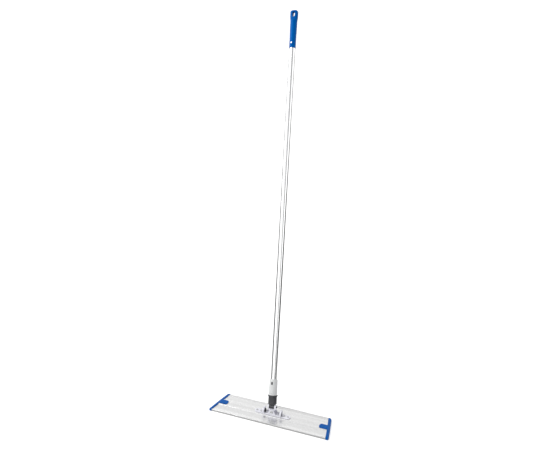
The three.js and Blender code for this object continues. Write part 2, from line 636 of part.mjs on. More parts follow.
// A sleeve over the top of the tube that ends in a flat eye to hang the mop by.
function grip() {
  const sleeve = turned("z", [
    [0, GRIP_BOTTOM], [GRIP_RADIUS - 0.5, GRIP_BOTTOM], [GRIP_RADIUS - 0.1, GRIP_BOTTOM + 1],
    [GRIP_RADIUS, GRIP_BOTTOM + 40], [GRIP_NECK_RADIUS - 0.1, GRIP_BOTTOM + 84],
    [GRIP_NECK_RADIUS, GRIP_NECK], [0, GRIP_NECK],
  ]);
  const round = turned("z", [
    [0, GRIP_NECK - 4], [GRIP_NECK_RADIUS, GRIP_NECK - 4], [GRIP_NECK_RADIUS + 0.1, GRIP_NECK],
    [GRIP_HEAD_HALF_WIDTH + 2, EYE_BOTTOM + 1], [GRIP_HEAD_HALF_WIDTH + 2, GRIP_TOP], [0, GRIP_TOP],
  ]);
  const head = prism("xz", gripHeadFront(), -THROUGH, THROUGH)
    .intersect(prism("yz", gripHeadSide(), -THROUGH, THROUGH))
    .intersect(round);
  const eye = prism("xz", stadium(EYE_HALF_WIDTH, EYE_BOTTOM, EYE_TOP), -THROUGH, THROUGH);
  const bore = rod("z", TUBE_RADIUS + GAP, GRIP_BOTTOM - 1, TUBE_TOP + GAP);
  return sleeve.add(head).subtract(eye).subtract(bore).subtract(gripRivetHole());
}

// A rivet through the front of the grip and the tube's wall.
function gripRivet() {
  const inner = TUBE_RADIUS - TUBE_WALL - 1;
  const seat = GRIP_RADIUS + GAP;
  const rivet = turned("y", [
    [0, -inner], [RIVET_RADIUS, -inner], [RIVET_RADIUS, -seat], [RIVET_HEAD_RADIUS - 0.6, -seat],
    [RIVET_HEAD_RADIUS - 1.2, -seat - 0.8], [0, -seat - 1.2],
  ], SMALL_ROUND);
  return rivet.translate(0, 0, GRIP_RIVET_HEIGHT);
}

// ---- Assembly ----
const head = new THREE.Group();
head.add(
  mesh("frame_plate", framePlate(), ALUMINIUM),
  mesh("end_cap_right", endCap(), BLUE_PLASTIC),
  mesh("end_cap_left", mirrored(endCap(), "x"), BLUE_PLASTIC),
  mesh("cap_screw_right", capScrew().translate(CAP_SCREW_X, 0, 0), STEEL),
  mesh("cap_screw_left", capScrew().translate(-CAP_SCREW_X, 0, 0), STEEL),
  mesh("hook_strip_front", hookStrip(-STRIP_OFFSET, STRIP_WIDTH, STRIP_INSET), HOOK_TAPE),
  mesh("hook_strip_middle", hookStrip(0, MIDDLE_STRIP_WIDTH, MIDDLE_STRIP_INSET), HOOK_TAPE),
  mesh("hook_strip_back", hookStrip(STRIP_OFFSET, STRIP_WIDTH, STRIP_INSET), HOOK_TAPE),
  mesh("swivel_base", swivelBase(), CREAM_PLASTIC),
  mesh("roll_stop_right", rollStop(), RUBBER),
  mesh("roll_stop_left", mirrored(rollStop(), "x"), RUBBER),
);
RIVET_XS.forEach((x, i) => {
  head.add(mesh(`base_rivet_${i + 1}`, baseRivet().translate(x, 0, 0), STEEL));
});

function thrustWasher() {
  const near = KNUCKLE_HALF_DEPTH + GAP;
  return ring("y", ROLL_PIN_RADIUS + RUNNING_GAP, WASHER_RADIUS, near, near + WASHER_THICKNESS);
}

const rollPinEnd = WALL_OUTER + GAP + PIN_END;
const onRollPin = [
  mesh("roll_pin", headedPin("y", ROLL_PIN_RADIUS, ROLL_PIN_HEAD, -WALL_OUTER - GAP, rollPinEnd), STEEL),
  mesh("roll_pin_clip", pinClip("y", ROLL_PIN_RADIUS, ROLL_PIN_HEAD, rollPinEnd), STEEL),
  mesh("thrust_washer_front", mirrored(thrustWasher(), "y"), WHITE_PLASTIC),
  mesh("thrust_washer_back", thrustWasher(), WHITE_PLASTIC),
];
for (const piece of onRollPin) piece.position.z = ROLL_PIN_Z;
head.add(...onRollPin);

const knuckleGroup = new THREE.Group();
knuckleGroup.position.z = ROLL_PIN_Z;
knuckleGroup.rotation.y = LEAN_SIDE;
const pitchPinStart = -KNUCKLE_HALF_WIDTH - GAP;
const pitchPinEnd = KNUCKLE_HALF_WIDTH + PIN_END;
const onPitchPin = [
  mesh("pitch_pin", headedPin("x", PITCH_PIN_RADIUS, PITCH_PIN_HEAD, pitchPinStart, pitchPinEnd), STEEL),
  mesh("pitch_pin_clip", pinClip("x", PITCH_PIN_RADIUS, PITCH_PIN_HEAD, pitchPinEnd), STEEL),
];
for (const piece of onPitchPin) piece.position.z = PIN_SPACING;
knuckleGroup.add(mesh("knuckle", knuckle(), PALE_PLASTIC), ...onPitchPin);

const handleGroup = new THREE.Group();
handleGroup.position.z = PIN_SPACING;
handleGroup.rotation.x = -LEAN_BACK;
handleGroup.add(
  mesh("coupling", coupling(), GREY_PLASTIC),
  mesh("release_button", releaseButton(), GREY_PLASTIC),
  mesh("button_spring", buttonSpring(), STEEL),
  mesh("ferrule_ring", ferruleRing(), WHITE_PLASTIC),
  mesh("ferrule", ferrule(), FERRULE_PLASTIC),
  mesh("ferrule_rivet", ferruleRivet(), STEEL),
  mesh("handle_tube", handleTube(), TUBE_ALUMINIUM),
  mesh("grip", grip(), BLUE_PLASTIC),
  mesh("grip_rivet", gripRivet(), STEEL),
);
knuckleGroup.add(handleGroup);

const mop = new THREE.Group();
mop.add(head, knuckleGroup);

export default mop;
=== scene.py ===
"""A flat mop: an aluminium frame with blue end caps, a two-pin swivel joint, and a long tube handle.

Pieces are drawn in millimetres, each in the frame of the body that it belongs to, and placed in metres.
"""

import json
import math

import bmesh
import bpy
from mathutils import Matrix, Vector
from mathutils.geometry import tessellate_polygon


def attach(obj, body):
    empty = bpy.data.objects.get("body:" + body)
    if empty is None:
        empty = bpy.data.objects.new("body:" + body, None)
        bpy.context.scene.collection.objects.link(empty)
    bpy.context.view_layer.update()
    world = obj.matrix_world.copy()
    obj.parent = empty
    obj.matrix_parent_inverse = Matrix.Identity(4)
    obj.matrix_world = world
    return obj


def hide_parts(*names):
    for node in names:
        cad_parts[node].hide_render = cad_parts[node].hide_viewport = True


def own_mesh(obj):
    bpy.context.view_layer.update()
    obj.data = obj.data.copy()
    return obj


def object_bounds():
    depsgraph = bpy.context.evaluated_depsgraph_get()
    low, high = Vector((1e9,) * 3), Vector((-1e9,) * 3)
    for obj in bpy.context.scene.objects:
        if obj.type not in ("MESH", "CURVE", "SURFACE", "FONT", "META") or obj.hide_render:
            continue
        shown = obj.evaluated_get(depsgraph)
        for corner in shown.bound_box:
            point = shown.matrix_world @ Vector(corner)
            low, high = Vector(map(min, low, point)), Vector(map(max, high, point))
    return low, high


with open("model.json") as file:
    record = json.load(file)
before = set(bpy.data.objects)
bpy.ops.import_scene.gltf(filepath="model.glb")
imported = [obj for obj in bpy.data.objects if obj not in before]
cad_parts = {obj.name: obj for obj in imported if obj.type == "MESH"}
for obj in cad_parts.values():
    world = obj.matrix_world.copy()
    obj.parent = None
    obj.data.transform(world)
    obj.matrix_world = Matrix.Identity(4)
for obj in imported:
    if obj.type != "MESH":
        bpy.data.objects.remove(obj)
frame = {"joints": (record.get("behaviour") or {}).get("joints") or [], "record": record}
cad_low, cad_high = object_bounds()

MM = 0.001
GAP = 0.3  # between pieces that touch
RUNNING_GAP = 0.2  # round a pin that turns in its hole

# ---- Frame plate and end caps ----
FRONT_HALF_LENGTH = 232.6
BACK_HALF_LENGTH = 206.8
END_BOW = 1
END_BAR_HALF_WIDTH = 6
CAP_HALF_DEPTH = 60
CAP_END_ROUNDING = 7
PLATE_HALF_DEPTH = 59
LIP_BOTTOM = 1.2
LIP_THICKNESS = 1.8
WEB_UNDERSIDE = 4.2
WING_TOP = 6.4
RIDGE_FOOT_TOP = 6.8
EDGE_BEAD_RADIUS = 1.8
RIDGE_HALF_WIDTH = 16.2
RIDGE_SLOPE = 1.4
RIDGE_TOP = 8.6
HOLLOW = (14.4, 5.2, 7.2)  # half width, bottom and top of the hollow under the ridge
WING_DISH = (20, 1.0)  # how far in from the bead a wing starts to curve up, and its rise
WING_GROOVES = (47.0, 44.5, 22.5)
RIDGE_GROOVES = (14.0, 7.0)
GROOVE_HALF_WIDTH = 0.45
GROOVE_DEPTH = 0.35
CAP_END_TOP = 8.2
CAP_CROWN = 10.4
CAP_EDGE_TOP = 6.2
CAP_SLOPE = 8
TONGUE_TIP = 184
TONGUE_HALF_WIDTH = 12
CAP_SCREW_X = 204
SCREW_RADIUS = 1.6
STRIP_TOP = WEB_UNDERSIDE - GAP
TAPE_THICKNESS = 1.5
# Each hook strip's middle line, its width, and how far in its ends are.
HOOK_STRIPS = {"front": (-37, 26, 12), "middle": (0, 20, 32), "back": (37, 26, 12)}
HOOK_HEIGHT = 2.3
HOOK_PITCH = (3.6, 3.2)  # along a row and from row to row

# ---- Swivel joint ----
FOOT_HALF_LENGTH = 71
FOOT_HALF_WIDTH = 11.5
FOOT_BOTTOM = RIDGE_TOP + GAP
FOOT_TOP = FOOT_BOTTOM + 2.5
CURB_TOP = FOOT_TOP + 2.5
WALL = (9.4, 12.6)  # its inner and outer faces
WALL_FOOT = 17
WALL_EYE_RADIUS = 9.4
POST = (31, 37)  # its inner and outer faces
POST_TOP = 31
GUSSET_TOP = 28
STOP_INNER = 27.4
ROLL_PIN_RADIUS = 3
ROLL_PIN_HEAD = 5.2
PITCH_PIN_RADIUS = 2.5
PITCH_PIN_HEAD = 4.2
PIN_END = 2.6  # how far a pin reaches past the piece it holds
CLIP_GROOVE = (2.4, 1.2, 0.6)  # from the pin's end, width and depth
RIVET_RADIUS = 2
RIVET_XS = (-62, -47, 47, 62)
BARREL_RADIUS = 6.2
KNUCKLE_HALF_WIDTH = 17
KNUCKLE_HALF_DEPTH = 8
LUG_RADIUS = 7.8
SLOT_HALF_WIDTH = 10.9
SLOT_RADIUS = 8.8
POCKET_DEPTH = 0.9
NECK_HALF_WIDTH = 10.4
NECK_RADIUS = 8

# ---- Handle: heights are along its axis, from the pitch pin ----
COLLAR_RADIUS = 16
COLLAR_BOTTOM = 14
COLLAR_FLANGE = 38.5
FLANGE_RADIUS = 18.2
COLLAR_TOP = 43.8
FLUTES = 28
FLUTE_DEPTH = 0.55
RING_RADIUS = 16.5
RING_TOP = 46.9
FERRULE_RADIUS = 15.8
FERRULE_TOP = 103.4
SPIGOT = (9.7, 7.2, 100)  # radius, bore radius and top
TUBE_RADIUS = 11.2
TUBE_WALL = 1.1
TUBE_TOP = 1466
BUTTON_HEIGHT = 88
BUTTON_HALF = (2.5, 5)  # half width and half length
BUTTON_FACE = -16.3
BUTTON_FLANGE = (-6.1, -5.1)  # its back face and its front face
SPRING = (BUTTON_FLANGE[1] + GAP, SPIGOT[1] - 1.1)  # where the leaf spring starts and ends
RECESS = (4, 6.6, -14.3)  # round the button: half width, half length and floor
FERRULE_RIVET_HEIGHT = 64
FERRULE_RIVET = (TUBE_RADIUS - TUBE_WALL, 16.3, 3.6, 1.3)  # inner end, seat, head radius, dome
GRIP_BOTTOM = 1357
GRIP_RIVET_HEIGHT = 1376
GRIP_RIVET = (TUBE_RADIUS - TUBE_WALL - 1, 13.0, 3.4, 1.2)
GRIP_SWELL = (12.5, 0.9)  # the sleeve's radius, and how much it grows towards the neck
GRIP_HEAD = (15, 8.9)  # half width and half depth
GRIP_SIDES = 72
GRIP_NECK = 1471
GRIP_TOP = 1503.5
EYE = (5.5, 1477.5, 1497.5)  # half width, bottom and top

# ---- The frames that pieces are drawn in ----
joints = {j["name"]: j for j in frame["joints"]}
hold = next(m for m in frame["record"]["mounts"] if m["name"] == "grip_hold")
roll_pin_at = Vector(joints["roll"]["pos_m"])
pitch_pin_at = Vector(joints["pitch"]["pos_m"])
pitch_axis = Vector(joints["pitch"]["axis"])


def frame_at(origin, along_x, along_z):
    """A frame with its x and z axes along two directions at right angles."""
    x = along_x.normalized()
    z = along_z.normalized()
    turned_frame = Matrix((x, z.cross(x), z)).transposed().to_4x4()
    turned_frame.translation = origin
    return turned_frame


HEAD_FRAME = Matrix.Identity(4)
ROLL_PIN_FRAME = frame_at(roll_pin_at, Vector((1, 0, 0)), Vector((0, 0, 1)))
KNUCKLE_FRAME = frame_at(roll_pin_at, pitch_axis, pitch_pin_at - roll_pin_at)
HANDLE_FRAME = frame_at(pitch_pin_at, pitch_axis, Vector(hold["axis"]))
PIN_SPACING = (pitch_pin_at - roll_pin_at).length / MM
ROLL_PIN_Z = roll_pin_at.z / MM
BODIES = frame["record"]["behaviour"]["bodies"]
BODY_OF = {node: body for body, nodes in BODIES.items() for node in nodes}


# ---- Outlines ----
def rounded(corners, steps=5):
    """An outline whose corners (x, y, radius) are arcs."""
    outline = []
    count = len(corners)
    for i, (x, y, radius) in enumerate(corners):
        corner = Vector((x, y))
        before = (Vector(corners[i - 1][:2]) - corner).normalized()
        after = (Vector(corners[(i + 1) % count][:2]) - corner).normalized()
        half = before.angle(after) / 2
        if radius <= 0 or half > math.radians(89.5):
            outline.append((x, y))
            continue
        centre = corner + (before + after).normalized() * radius / math.sin(half)
        start = corner + before * radius / math.tan(half) - centre
        turn = math.pi - 2 * half
        if before.x * after.y - before.y * after.x > 0:
            turn = -turn
        for k in range(steps + 1):
            spoke = Matrix.Rotation(turn * k / steps, 2) @ start
            outline.append(tuple(centre + spoke))
    return outline


def arc(centre, radius, start, end, steps):
    """Points on an arc, angles in degrees."""
    turns = [math.radians(start + (end - start) * k / steps) for k in range(steps + 1)]
    return [(centre[0] + radius * math.cos(a), centre[1] + radius * math.sin(a)) for a in turns]


def stadium(half_width, low, high, steps=12):
    """A flat outline with round ends, long in its second direction."""
    top = arc((0, high - half_width), half_width, 0, 180, steps)
    bottom = arc((0, low + half_width), half_width, 180, 360, steps)
    return top + bottom


def signed_area(outline):
    pairs = zip(outline, outline[1:] + outline[:1])
    return sum(a[0] * b[1] - b[0] * a[1] for a, b in pairs) / 2


def inset(outline, distance):
    """The outline moved inwards."""
    side = 1 if signed_area(outline) > 0 else -1
    moved = []
    count = len(outline)
    for i, point in enumerate(outline):
        here = Vector(point)
        edge_in = (here - Vector(outline[i - 1])).normalized()
        edge_out = (Vector(outline[(i + 1) % count]) - here).normalized()
        normal_in = Vector((-edge_in.y, edge_in.x)) * side
        normal_out = Vector((-edge_out.y, edge_out.x)) * side
        mitre = (normal_in + normal_out) / max(0.3, 1 + normal_in.dot(normal_out))
        moved.append(tuple(here + mitre * distance))
    return moved


# ---- Meshes, in millimetres ----
ALONG = {
    "xy": lambda u, v, d: (u, v, d),
    "xz": lambda u, v, d: (u, d, v),
    "yz": lambda u, v, d: (d, u, v),
}
TO_AXIS = {
    "x": Matrix(((0, 0, 1, 0), (0, 1, 0, 0), (-1, 0, 0, 0), (0, 0, 0, 1))),
    "y": Matrix(((1, 0, 0, 0), (0, 0, 1, 0), (0, -1, 0, 0), (0, 0, 0, 1))),
    "z": Matrix.Identity(4),
}


def mesh_of(points, faces):
    made = bpy.data.meshes.new("part")
    made.from_pydata(points, [], faces)
    return cleaned(made, 1e-5)


def cleaned(made, distance):
    """The mesh with close points merged and its faces pointing out."""
    work = bmesh.new()
    work.from_mesh(made)
    bmesh.ops.remove_doubles(work, verts=work.verts, dist=distance)
    bmesh.ops.dissolve_degenerate(work, edges=work.edges, dist=distance)
    bmesh.ops.recalc_face_normals(work, faces=work.faces)
    work.to_mesh(made)
    work.free()
    return made


def loft(rings, closed=False, poles=(None, None)):
    """Rings of equally many points, joined in order. An end closes with a face, or on its pole."""
    size = len(rings[0])
    points = [p for ring in rings for p in ring]
    faces = []
    for i in range(len(rings) if closed else len(rings) - 1):
        a, b = i * size, (i + 1) % len(rings) * size
        for k in range(size):
            m = (k + 1) % size
            faces.append((a + k, a + m, b + m, b + k))
    if closed:
        return mesh_of(points, faces)
    for pole, base in zip(poles, (0, len(points) - size)):
        if pole is None:
            faces.append(tuple(range(base, base + size)))
            continue
        points.append(pole)
        tip = len(points) - 1
        faces += [(base + k, base + (k + 1) % size, tip) for k in range(size)]
    return mesh_of(points, faces)


def prism(plane, outline, low, high, edge=0.0, steps=3):
    """An outline pushed from one depth to another, with round edges at both ends."""
    place = ALONG[plane]
    levels = []
    for k in range(steps + 1 if edge else 1):
        turn = math.pi / 2 * k / steps
        levels.append((edge * (1 - math.sin(turn)), edge * (1 - math.cos(turn))))
    low_rings = [(i, low + d) for i, d in levels]
    high_rings = [(i, high - d) for i, d in reversed(levels)]
    rings = []
    for shrink, depth in low_rings + high_rings:
        ring = inset(outline, shrink) if shrink else outline
        rings.append([place(u, v, depth) for u, v in ring])
    return loft(rings)


def block(x, y, z, edge=0.4, corner=0.6):
    """A box with round edges; each side is a pair of ends."""
    corners = [(x[0], y[0], corner), (x[1], y[0], corner), (x[1], y[1], corner), (x[0], y[1], corner)]
    return prism("xy", rounded(corners, 3), z[0], z[1], edge)


def revolved(profile, axis="z", sides=64, swell=None):
    """A profile of (radius, height), from axis to axis or closed on itself, turned about an axis."""
    from_axis = profile[0][0] == 0
    path = profile[1:-1] if from_axis else profile
    rings = []
    for radius, height in path:
        ring = []
        for k in range(sides):
            turn = 2 * math.pi * k / sides
            reach = radius + (swell(turn, radius, height) if swell else 0)
            ring.append((reach * math.cos(turn), reach * math.sin(turn), height))
        rings.append(ring)
    poles = ((0, 0, profile[0][1]), (0, 0, profile[-1][1])) if from_axis else (None, None)
    made = loft(rings, closed=not from_axis, poles=poles)
    made.transform(TO_AXIS[axis])
    return made


def rod(axis, radius, low, high, sides=48):
    return revolved([(0, low), (radius, low), (radius, high), (0, high)], axis, sides)


def fastener_hole(axis, radius, low, high, **at):
    """A cutter for a hole with a gap round a rivet or a screw."""
    return moved(rod(axis, radius + GAP, low, high, 24), **at)


def flared_rod(axis, radius, low, high, flare, sides=48):
    """A cutter for a hole whose two rims are eased."""
    wide = radius + flare
    profile = [(0, low - 1), (wide + 1, low - 1), (radius, low + flare), (radius, high - flare)]
    return revolved(profile + [(wide + 1, high + 1), (0, high + 1)], axis, sides)


def moved(made, x=0.0, y=0.0, z=0.0):
    made.transform(Matrix.Translation((x, y, z)))
    return made


def mirrored(made, axis):
    factors = (-1, 1, 1) if axis == "x" else (1, -1, 1)
    copy = made.copy()
    copy.transform(Matrix.Diagonal((*factors, 1)))
    copy.flip_normals()
    return copy


def combined(how, first, *others):
    """Closed meshes joined (UNION), cut (DIFFERENCE) or met (INTERSECT) one after another."""
    base = bpy.data.objects.new("base", first)
    bpy.context.scene.collection.objects.link(base)
    tools = []
    for other in others:
        tool = bpy.data.objects.new("tool", other)
        bpy.context.scene.collection.objects.link(tool)
        tools.append(tool)
        step = base.modifiers.new("step", "BOOLEAN")
        step.operation = how
        step.solver = "MANIFOLD"
        step.object = tool
    graph = bpy.context.evaluated_depsgraph_get()
    made = bpy.data.meshes.new_from_object(base.evaluated_get(graph))
    for helper in [base, *tools]:
        bpy.data.objects.remove(helper)
    return cleaned(made, 0.002)


def joined(*meshes):
    return combined("UNION", *meshes)


def cut(first, *cutters):
    return combined("DIFFERENCE", first, *cutters)


def met(*meshes):
    return combined("INTERSECT", *meshes)


# ---- Materials ----
class Nodes:
    """A node tree and the ways to add to it."""

    def __init__(self, tree):
        self.tree = tree

    def add(self, kind, links=None, **inputs):
        node = self.tree.nodes.new(kind)
        for socket, value in inputs.items():
            node.inputs[socket.replace("_", " ")].default_value = value
        for socket, source in (links or {}).items():
            self.tree.links.new(source, node.inputs[socket])
        return node

    def spread(self, source, low, high, start=0.3, end=0.7):
        """The source's range from start to end stretched to run from low to high."""
        ranged = self.add("ShaderNodeMapRange", {"Value": source})
        for socket, value in zip(("From Min", "From Max", "To Min", "To Max"), (start, end, low, high)):
            ranged.inputs[socket].default_value = value
        return ranged.outputs["Result"]

    def product(self, first, second):
        made = self.add("ShaderNodeMath")
        made.operation = "MULTIPLY"
        self.tree.links.new(first, made.inputs[0])
        self.tree.links.new(second, made.inputs[1])
        return made.outputs["Value"]


class Shader(Nodes):
    """A material's node tree round one Principled shader."""

    def __init__(self, name, colour, roughness, metallic=0.0, **sockets):
        self.material = bpy.data.materials.new(name)
        self.material.use_nodes = True
        super().__init__(self.material.node_tree)
        self.surface = next(n for n in self.tree.nodes if n.type == "BSDF_PRINCIPLED")
        self.surface.inputs["Base Color"].default_value = (*colour, 1)
        self.surface.inputs["Roughness"].default_value = roughness
        self.surface.inputs["Metallic"].default_value = metallic
        for socket, value in sockets.items():
            self.surface.inputs[socket.replace("_", " ")].default_value = value

    def noise(self, scale, detail=3.0, stretch=(1, 1, 1), roughness=0.5):
        """Noise over the piece's own coordinates, in cells per metre."""
        where = self.add("ShaderNodeTexCoord").outputs["Object"]
        mapped = self.add("ShaderNodeMapping", {"Vector": where}, Scale=stretch)
        spots = self.add("ShaderNodeTexNoise", {"Vector": mapped.outputs["Vector"]})
        spots.inputs["Scale"].default_value = scale
        spots.inputs["Detail"].default_value = detail
        spots.inputs["Roughness"].default_value = roughness
        return spots.outputs["Fac"]

    def tint(self, source, low, high):
        """A colour that runs from low to high with the source."""
        ramp = self.add("ShaderNodeValToRGB", {"Fac": source})
        ramp.color_ramp.elements[0].color = (*low, 1)
        ramp.color_ramp.elements[0].position = 0.3
        ramp.color_ramp.elements[1].color = (*high, 1)
        ramp.color_ramp.elements[1].position = 0.7
        return ramp.outputs["Color"]

    def multiplied(self, first, second):
        mixed = self.add("ShaderNodeMix")
        mixed.data_type = "RGBA"
        mixed.blend_type = "MULTIPLY"
        mixed.inputs["Factor"].default_value = 1.0
        self.tree.links.new(first, mixed.inputs[6])
        self.tree.links.new(second, mixed.inputs[7])
        return mixed.outputs[2]

    def bump(self, *layers):
        """Bump from (height source, distance in metres, strength) layers."""
        normal = None
        for height, distance, strength in layers:
            links = {"Height": height}
            if normal is not None:
                links["Normal"] = normal
            layer = self.add("ShaderNodeBump", links, Distance=distance, Strength=strength)
            normal = layer.outputs["Normal"]
        self.tree.links.new(normal, self.surface.inputs["Normal"])

    def drive(self, socket, source):
        self.tree.links.new(source, self.surface.inputs[socket])


def shade(colour, factor):
    return tuple(min(1.0, c * factor) for c in colour)


def moulded_plastic(name, colour, roughness, depth=0.00004, grain=1600, **sockets):
    """Moulded plastic: a fine spark-eroded grain, faint flow marks, and rubbed patches."""
    made = Shader(name, colour, roughness, **sockets)
    flow = made.noise(28, 4)
    texture = made.noise(grain, 2)
    rubbed = made.noise(120, 5, roughness=0.65)
    made.drive("Base Color", made.tint(flow, shade(colour, 0.93), shade(colour, 1.05)))
    made.drive("Roughness", made.spread(rubbed, roughness - 0.07, roughness + 0.09))
    made.bump((texture, depth, 0.35), (rubbed, depth * 2, 0.12))
    return made.material


def drawn_metal(name, colour, roughness, along, line_depth=0.00001, contrast=0.06):
    """Metal pulled through a die: fine lines along one axis, broad faint bands, and small scuffs."""
    made = Shader(name, colour, roughness, metallic=1.0)
    fine = [1600.0, 1600.0, 1600.0]
    fine["xyz".index(along)] = 5.0
    broad = [170.0, 170.0, 170.0]
    broad["xyz".index(along)] = 1.2
    lines = made.noise(1, 3, fine)
    bands = made.noise(1, 3, broad)
    scuffs = made.noise(260, 6, roughness=0.75)
    by_line = made.tint(lines, shade(colour, 1 - contrast), shade(colour, 1 + contrast))
    by_band = made.tint(bands, (1 - contrast,) * 3, (1.0, 1.0, 1.0))
    made.drive("Base Color", made.multiplied(by_line, by_band))
    made.drive("Roughness", made.spread(scuffs, roughness - 0.05, roughness + 0.08))
    made.bump((lines, line_depth, 0.5), (scuffs, line_depth, 0.15))
    return made.material


def plated_steel(name, colour, roughness):
    """Steel with a slightly clouded plating."""
    made = Shader(name, colour, roughness, metallic=1.0)
    cloud = made.noise(500, 4)
    made.drive("Base Color", made.tint(cloud, shade(colour, 0.9), shade(colour, 1.08)))
    made.drive("Roughness", made.spread(cloud, roughness - 0.08, roughness + 0.1))
    made.bump((made.noise(2500, 2), 0.00001, 0.3))
    return made.material


def soft_rubber(name, colour):
    made = Shader(name, colour, 0.8)
    dust = made.noise(300, 5)
    made.drive("Base Color", made.tint(dust, shade(colour, 0.8), shade(colour, 1.5)))
    made.bump((made.noise(2200, 3), 0.00006, 0.5))
    return made.material


def nylon_hooks(name, colour):
    made = Shader(name, colour, 0.55)
    fibre = made.noise(1, 2, (300, 2400, 300))
    made.drive("Base Color", made.tint(made.noise(60, 4), shade(colour, 0.88), shade(colour, 1.06)))
    made.bump((fibre, 0.00008, 0.5))
    return made.material


BLUE = (0.0, 0.080, 0.34)
BLUE_SHEEN = {"Specular_Tint": (0.02, 0.40, 0.80, 1), "Specular_IOR_Level": 0.3}

MATERIALS = {
    "anodised_aluminium": drawn_metal("satin_extrusion", (0.86, 0.86, 0.86), 0.27, "x", 0.000015),
    "tube_aluminium": drawn_metal("bright_tube", (0.86, 0.865, 0.87), 0.10, "z", 0.000004, 0.03),
    "blue_plastic": moulded_plastic("blue_moulding", BLUE, 0.28, **BLUE_SHEEN),
    "pale_plastic": moulded_plastic("pale_moulding", (0.74, 0.74, 0.80), 0.42),
    "grey_plastic": moulded_plastic("dark_moulding", (0.036, 0.037, 0.042), 0.24),
    "ferrule_plastic": moulded_plastic("ferrule_moulding", (0.60, 0.61, 0.61), 0.40),
    "white_plastic": moulded_plastic("white_moulding", (0.85, 0.86, 0.86), 0.38),
    "hook_tape": nylon_hooks("nylon_hooks", (0.72, 0.72, 0.70)),
    "stop_rubber": soft_rubber("soft_rubber", (0.02, 0.02, 0.022)),
    "steel": plated_steel("plated_steel", (0.58, 0.585, 0.59), 0.27),
    "dark_pin": plated_steel("black_steel", (0.06, 0.06, 0.065), 0.33),
}


# ---- Pieces ----
SHARP_ANGLE = math.radians(34)


def piece(node, made, place, slot):
    """A finished mesh as the piece that stands for a CAD node."""
    made.transform(Matrix.Scale(MM, 4))
    made.name = node + "_surface"
    made.materials.clear()
    made.materials.append(MATERIALS[slot])
    for face in made.polygons:
        face.use_smooth = True
    made.set_sharp_from_angle(angle=SHARP_ANGLE)
    shown = bpy.data.objects.new(node + "_surface", made)
    bpy.context.scene.collection.objects.link(shown)
    shown.matrix_world = place
    weighted = shown.modifiers.new("even_shading", "WEIGHTED_NORMAL")
    weighted.keep_sharp = True
    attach(shown, BODY_OF[node])
    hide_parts(node)
    return shown


def end_line(y):
    """How far out the centre line of an end bar is, at a depth y."""
    along = (y + CAP_HALF_DEPTH) / (2 * CAP_HALF_DEPTH)
    straight = FRONT_HALF_LENGTH + (BACK_HALF_LENGTH - FRONT_HALF_LENGTH) * along
    return straight + END_BOW * (1 - (y / CAP_HALF_DEPTH) ** 2)


# The plate: one extruded section, its ends cut to the end bars' line.
def wing_height(y):
    """The top of a wing, which thickens to the foot of the ridge and curves up a little to its bead."""
    outer = PLATE_HALF_DEPTH - 2 * EDGE_BEAD_RADIUS
    inner = RIDGE_HALF_WIDTH + RIDGE_SLOPE
    start, rise = WING_DISH
    curve = max(0.0, (y - outer + start) / start)
    return WING_TOP + (RIDGE_FOOT_TOP - WING_TOP) * (outer - y) / (outer - inner) + rise * curve**2


def groove(y, top):
    """A narrow groove in a surface, drawn towards the middle of the plate."""
    half = GROOVE_HALF_WIDTH
    floor = top - GROOVE_DEPTH
    return [
        (y + half, top, 0.12), (y + half * 0.5, floor, 0.1),
        (y - half * 0.5, floor, 0.1), (y - half, top, 0.12),
    ]


def plate_section():
    """The plate's section: lips, edge beads, dished wings and the ridge, with their fine grooves."""
    lip = PLATE_HALF_DEPTH - LIP_THICKNESS
    bead_top = WING_TOP + EDGE_BEAD_RADIUS
    bead_inner = PLATE_HALF_DEPTH - 2 * EDGE_BEAD_RADIUS
    half = [
        (lip, WEB_UNDERSIDE, 0.5), (lip, LIP_BOTTOM, 0.4), (PLATE_HALF_DEPTH, LIP_BOTTOM, 0.5),
        (PLATE_HALF_DEPTH, bead_top, 1.75), (bead_inner, bead_top, 1.75),
        (bead_inner, wing_height(bead_inner), 0.4),
    ]
    half += [(bead_inner - k, wing_height(bead_inner - k), 0) for k in (1, 2, 3, 4)]
    for y in WING_GROOVES:
        half += groove(y, wing_height(y))
    half += [(RIDGE_HALF_WIDTH + RIDGE_SLOPE, RIDGE_FOOT_TOP, 0.8), (RIDGE_HALF_WIDTH, RIDGE_TOP, 0.7)]
    for y in RIDGE_GROOVES:
        half += groove(y, RIDGE_TOP)
    other = [(-y, z, r) for y, z, r in reversed(half)]
    return rounded(half + other, 3)


def hollow_bar(outer, inner):
    """The plate's section along its whole length, with the hollow inside it."""
    points = []
    faces = []
    for side in (-1, 1):
        for y, z in outer + inner:
            points.append((side * (end_line(y) - END_BAR_HALF_WIDTH - GAP), y, z))
    size = len(outer) + len(inner)
    for start, loop in ((0, outer), (len(outer), inner)):
        for k in range(len(loop)):
            a, b = start + k, start + (k + 1) % len(loop)
            faces.append((a, b, b + size, a + size))
    loops = [[Vector((y, z, 0)) for y, z in loop] for loop in (outer, inner)]
    for corners in tessellate_polygon(loops):
        faces.append(tuple(corners))
        faces.append(tuple(c + size for c in corners))
    return mesh_of(points, faces)


def frame_plate():
    half, low, high = HOLLOW
    inner = rounded([(-half, low, 0.8), (half, low, 0.8), (half, high, 0.8), (-half, high, 0.8)], 3)
    holes = [fastener_hole("z", RIVET_RADIUS, high - 1, RIDGE_TOP + 1, x=x) for x in RIVET_XS]
    for x in (-CAP_SCREW_X, CAP_SCREW_X):
        holes.append(fastener_hole("z", SCREW_RADIUS, WEB_UNDERSIDE - 1, low + 1, x=x))
    return cut(hollow_bar(plate_section(), inner), *holes)


# An end cap: an arched bar along the end of the plate, and a tongue that lies on the ridge.
def arch(y):
    """The top of an end bar at a depth y."""
    return CAP_END_TOP + (CAP_CROWN - CAP_END_TOP) * max(0.0, 1 - (y / CAP_HALF_DEPTH) ** 2)


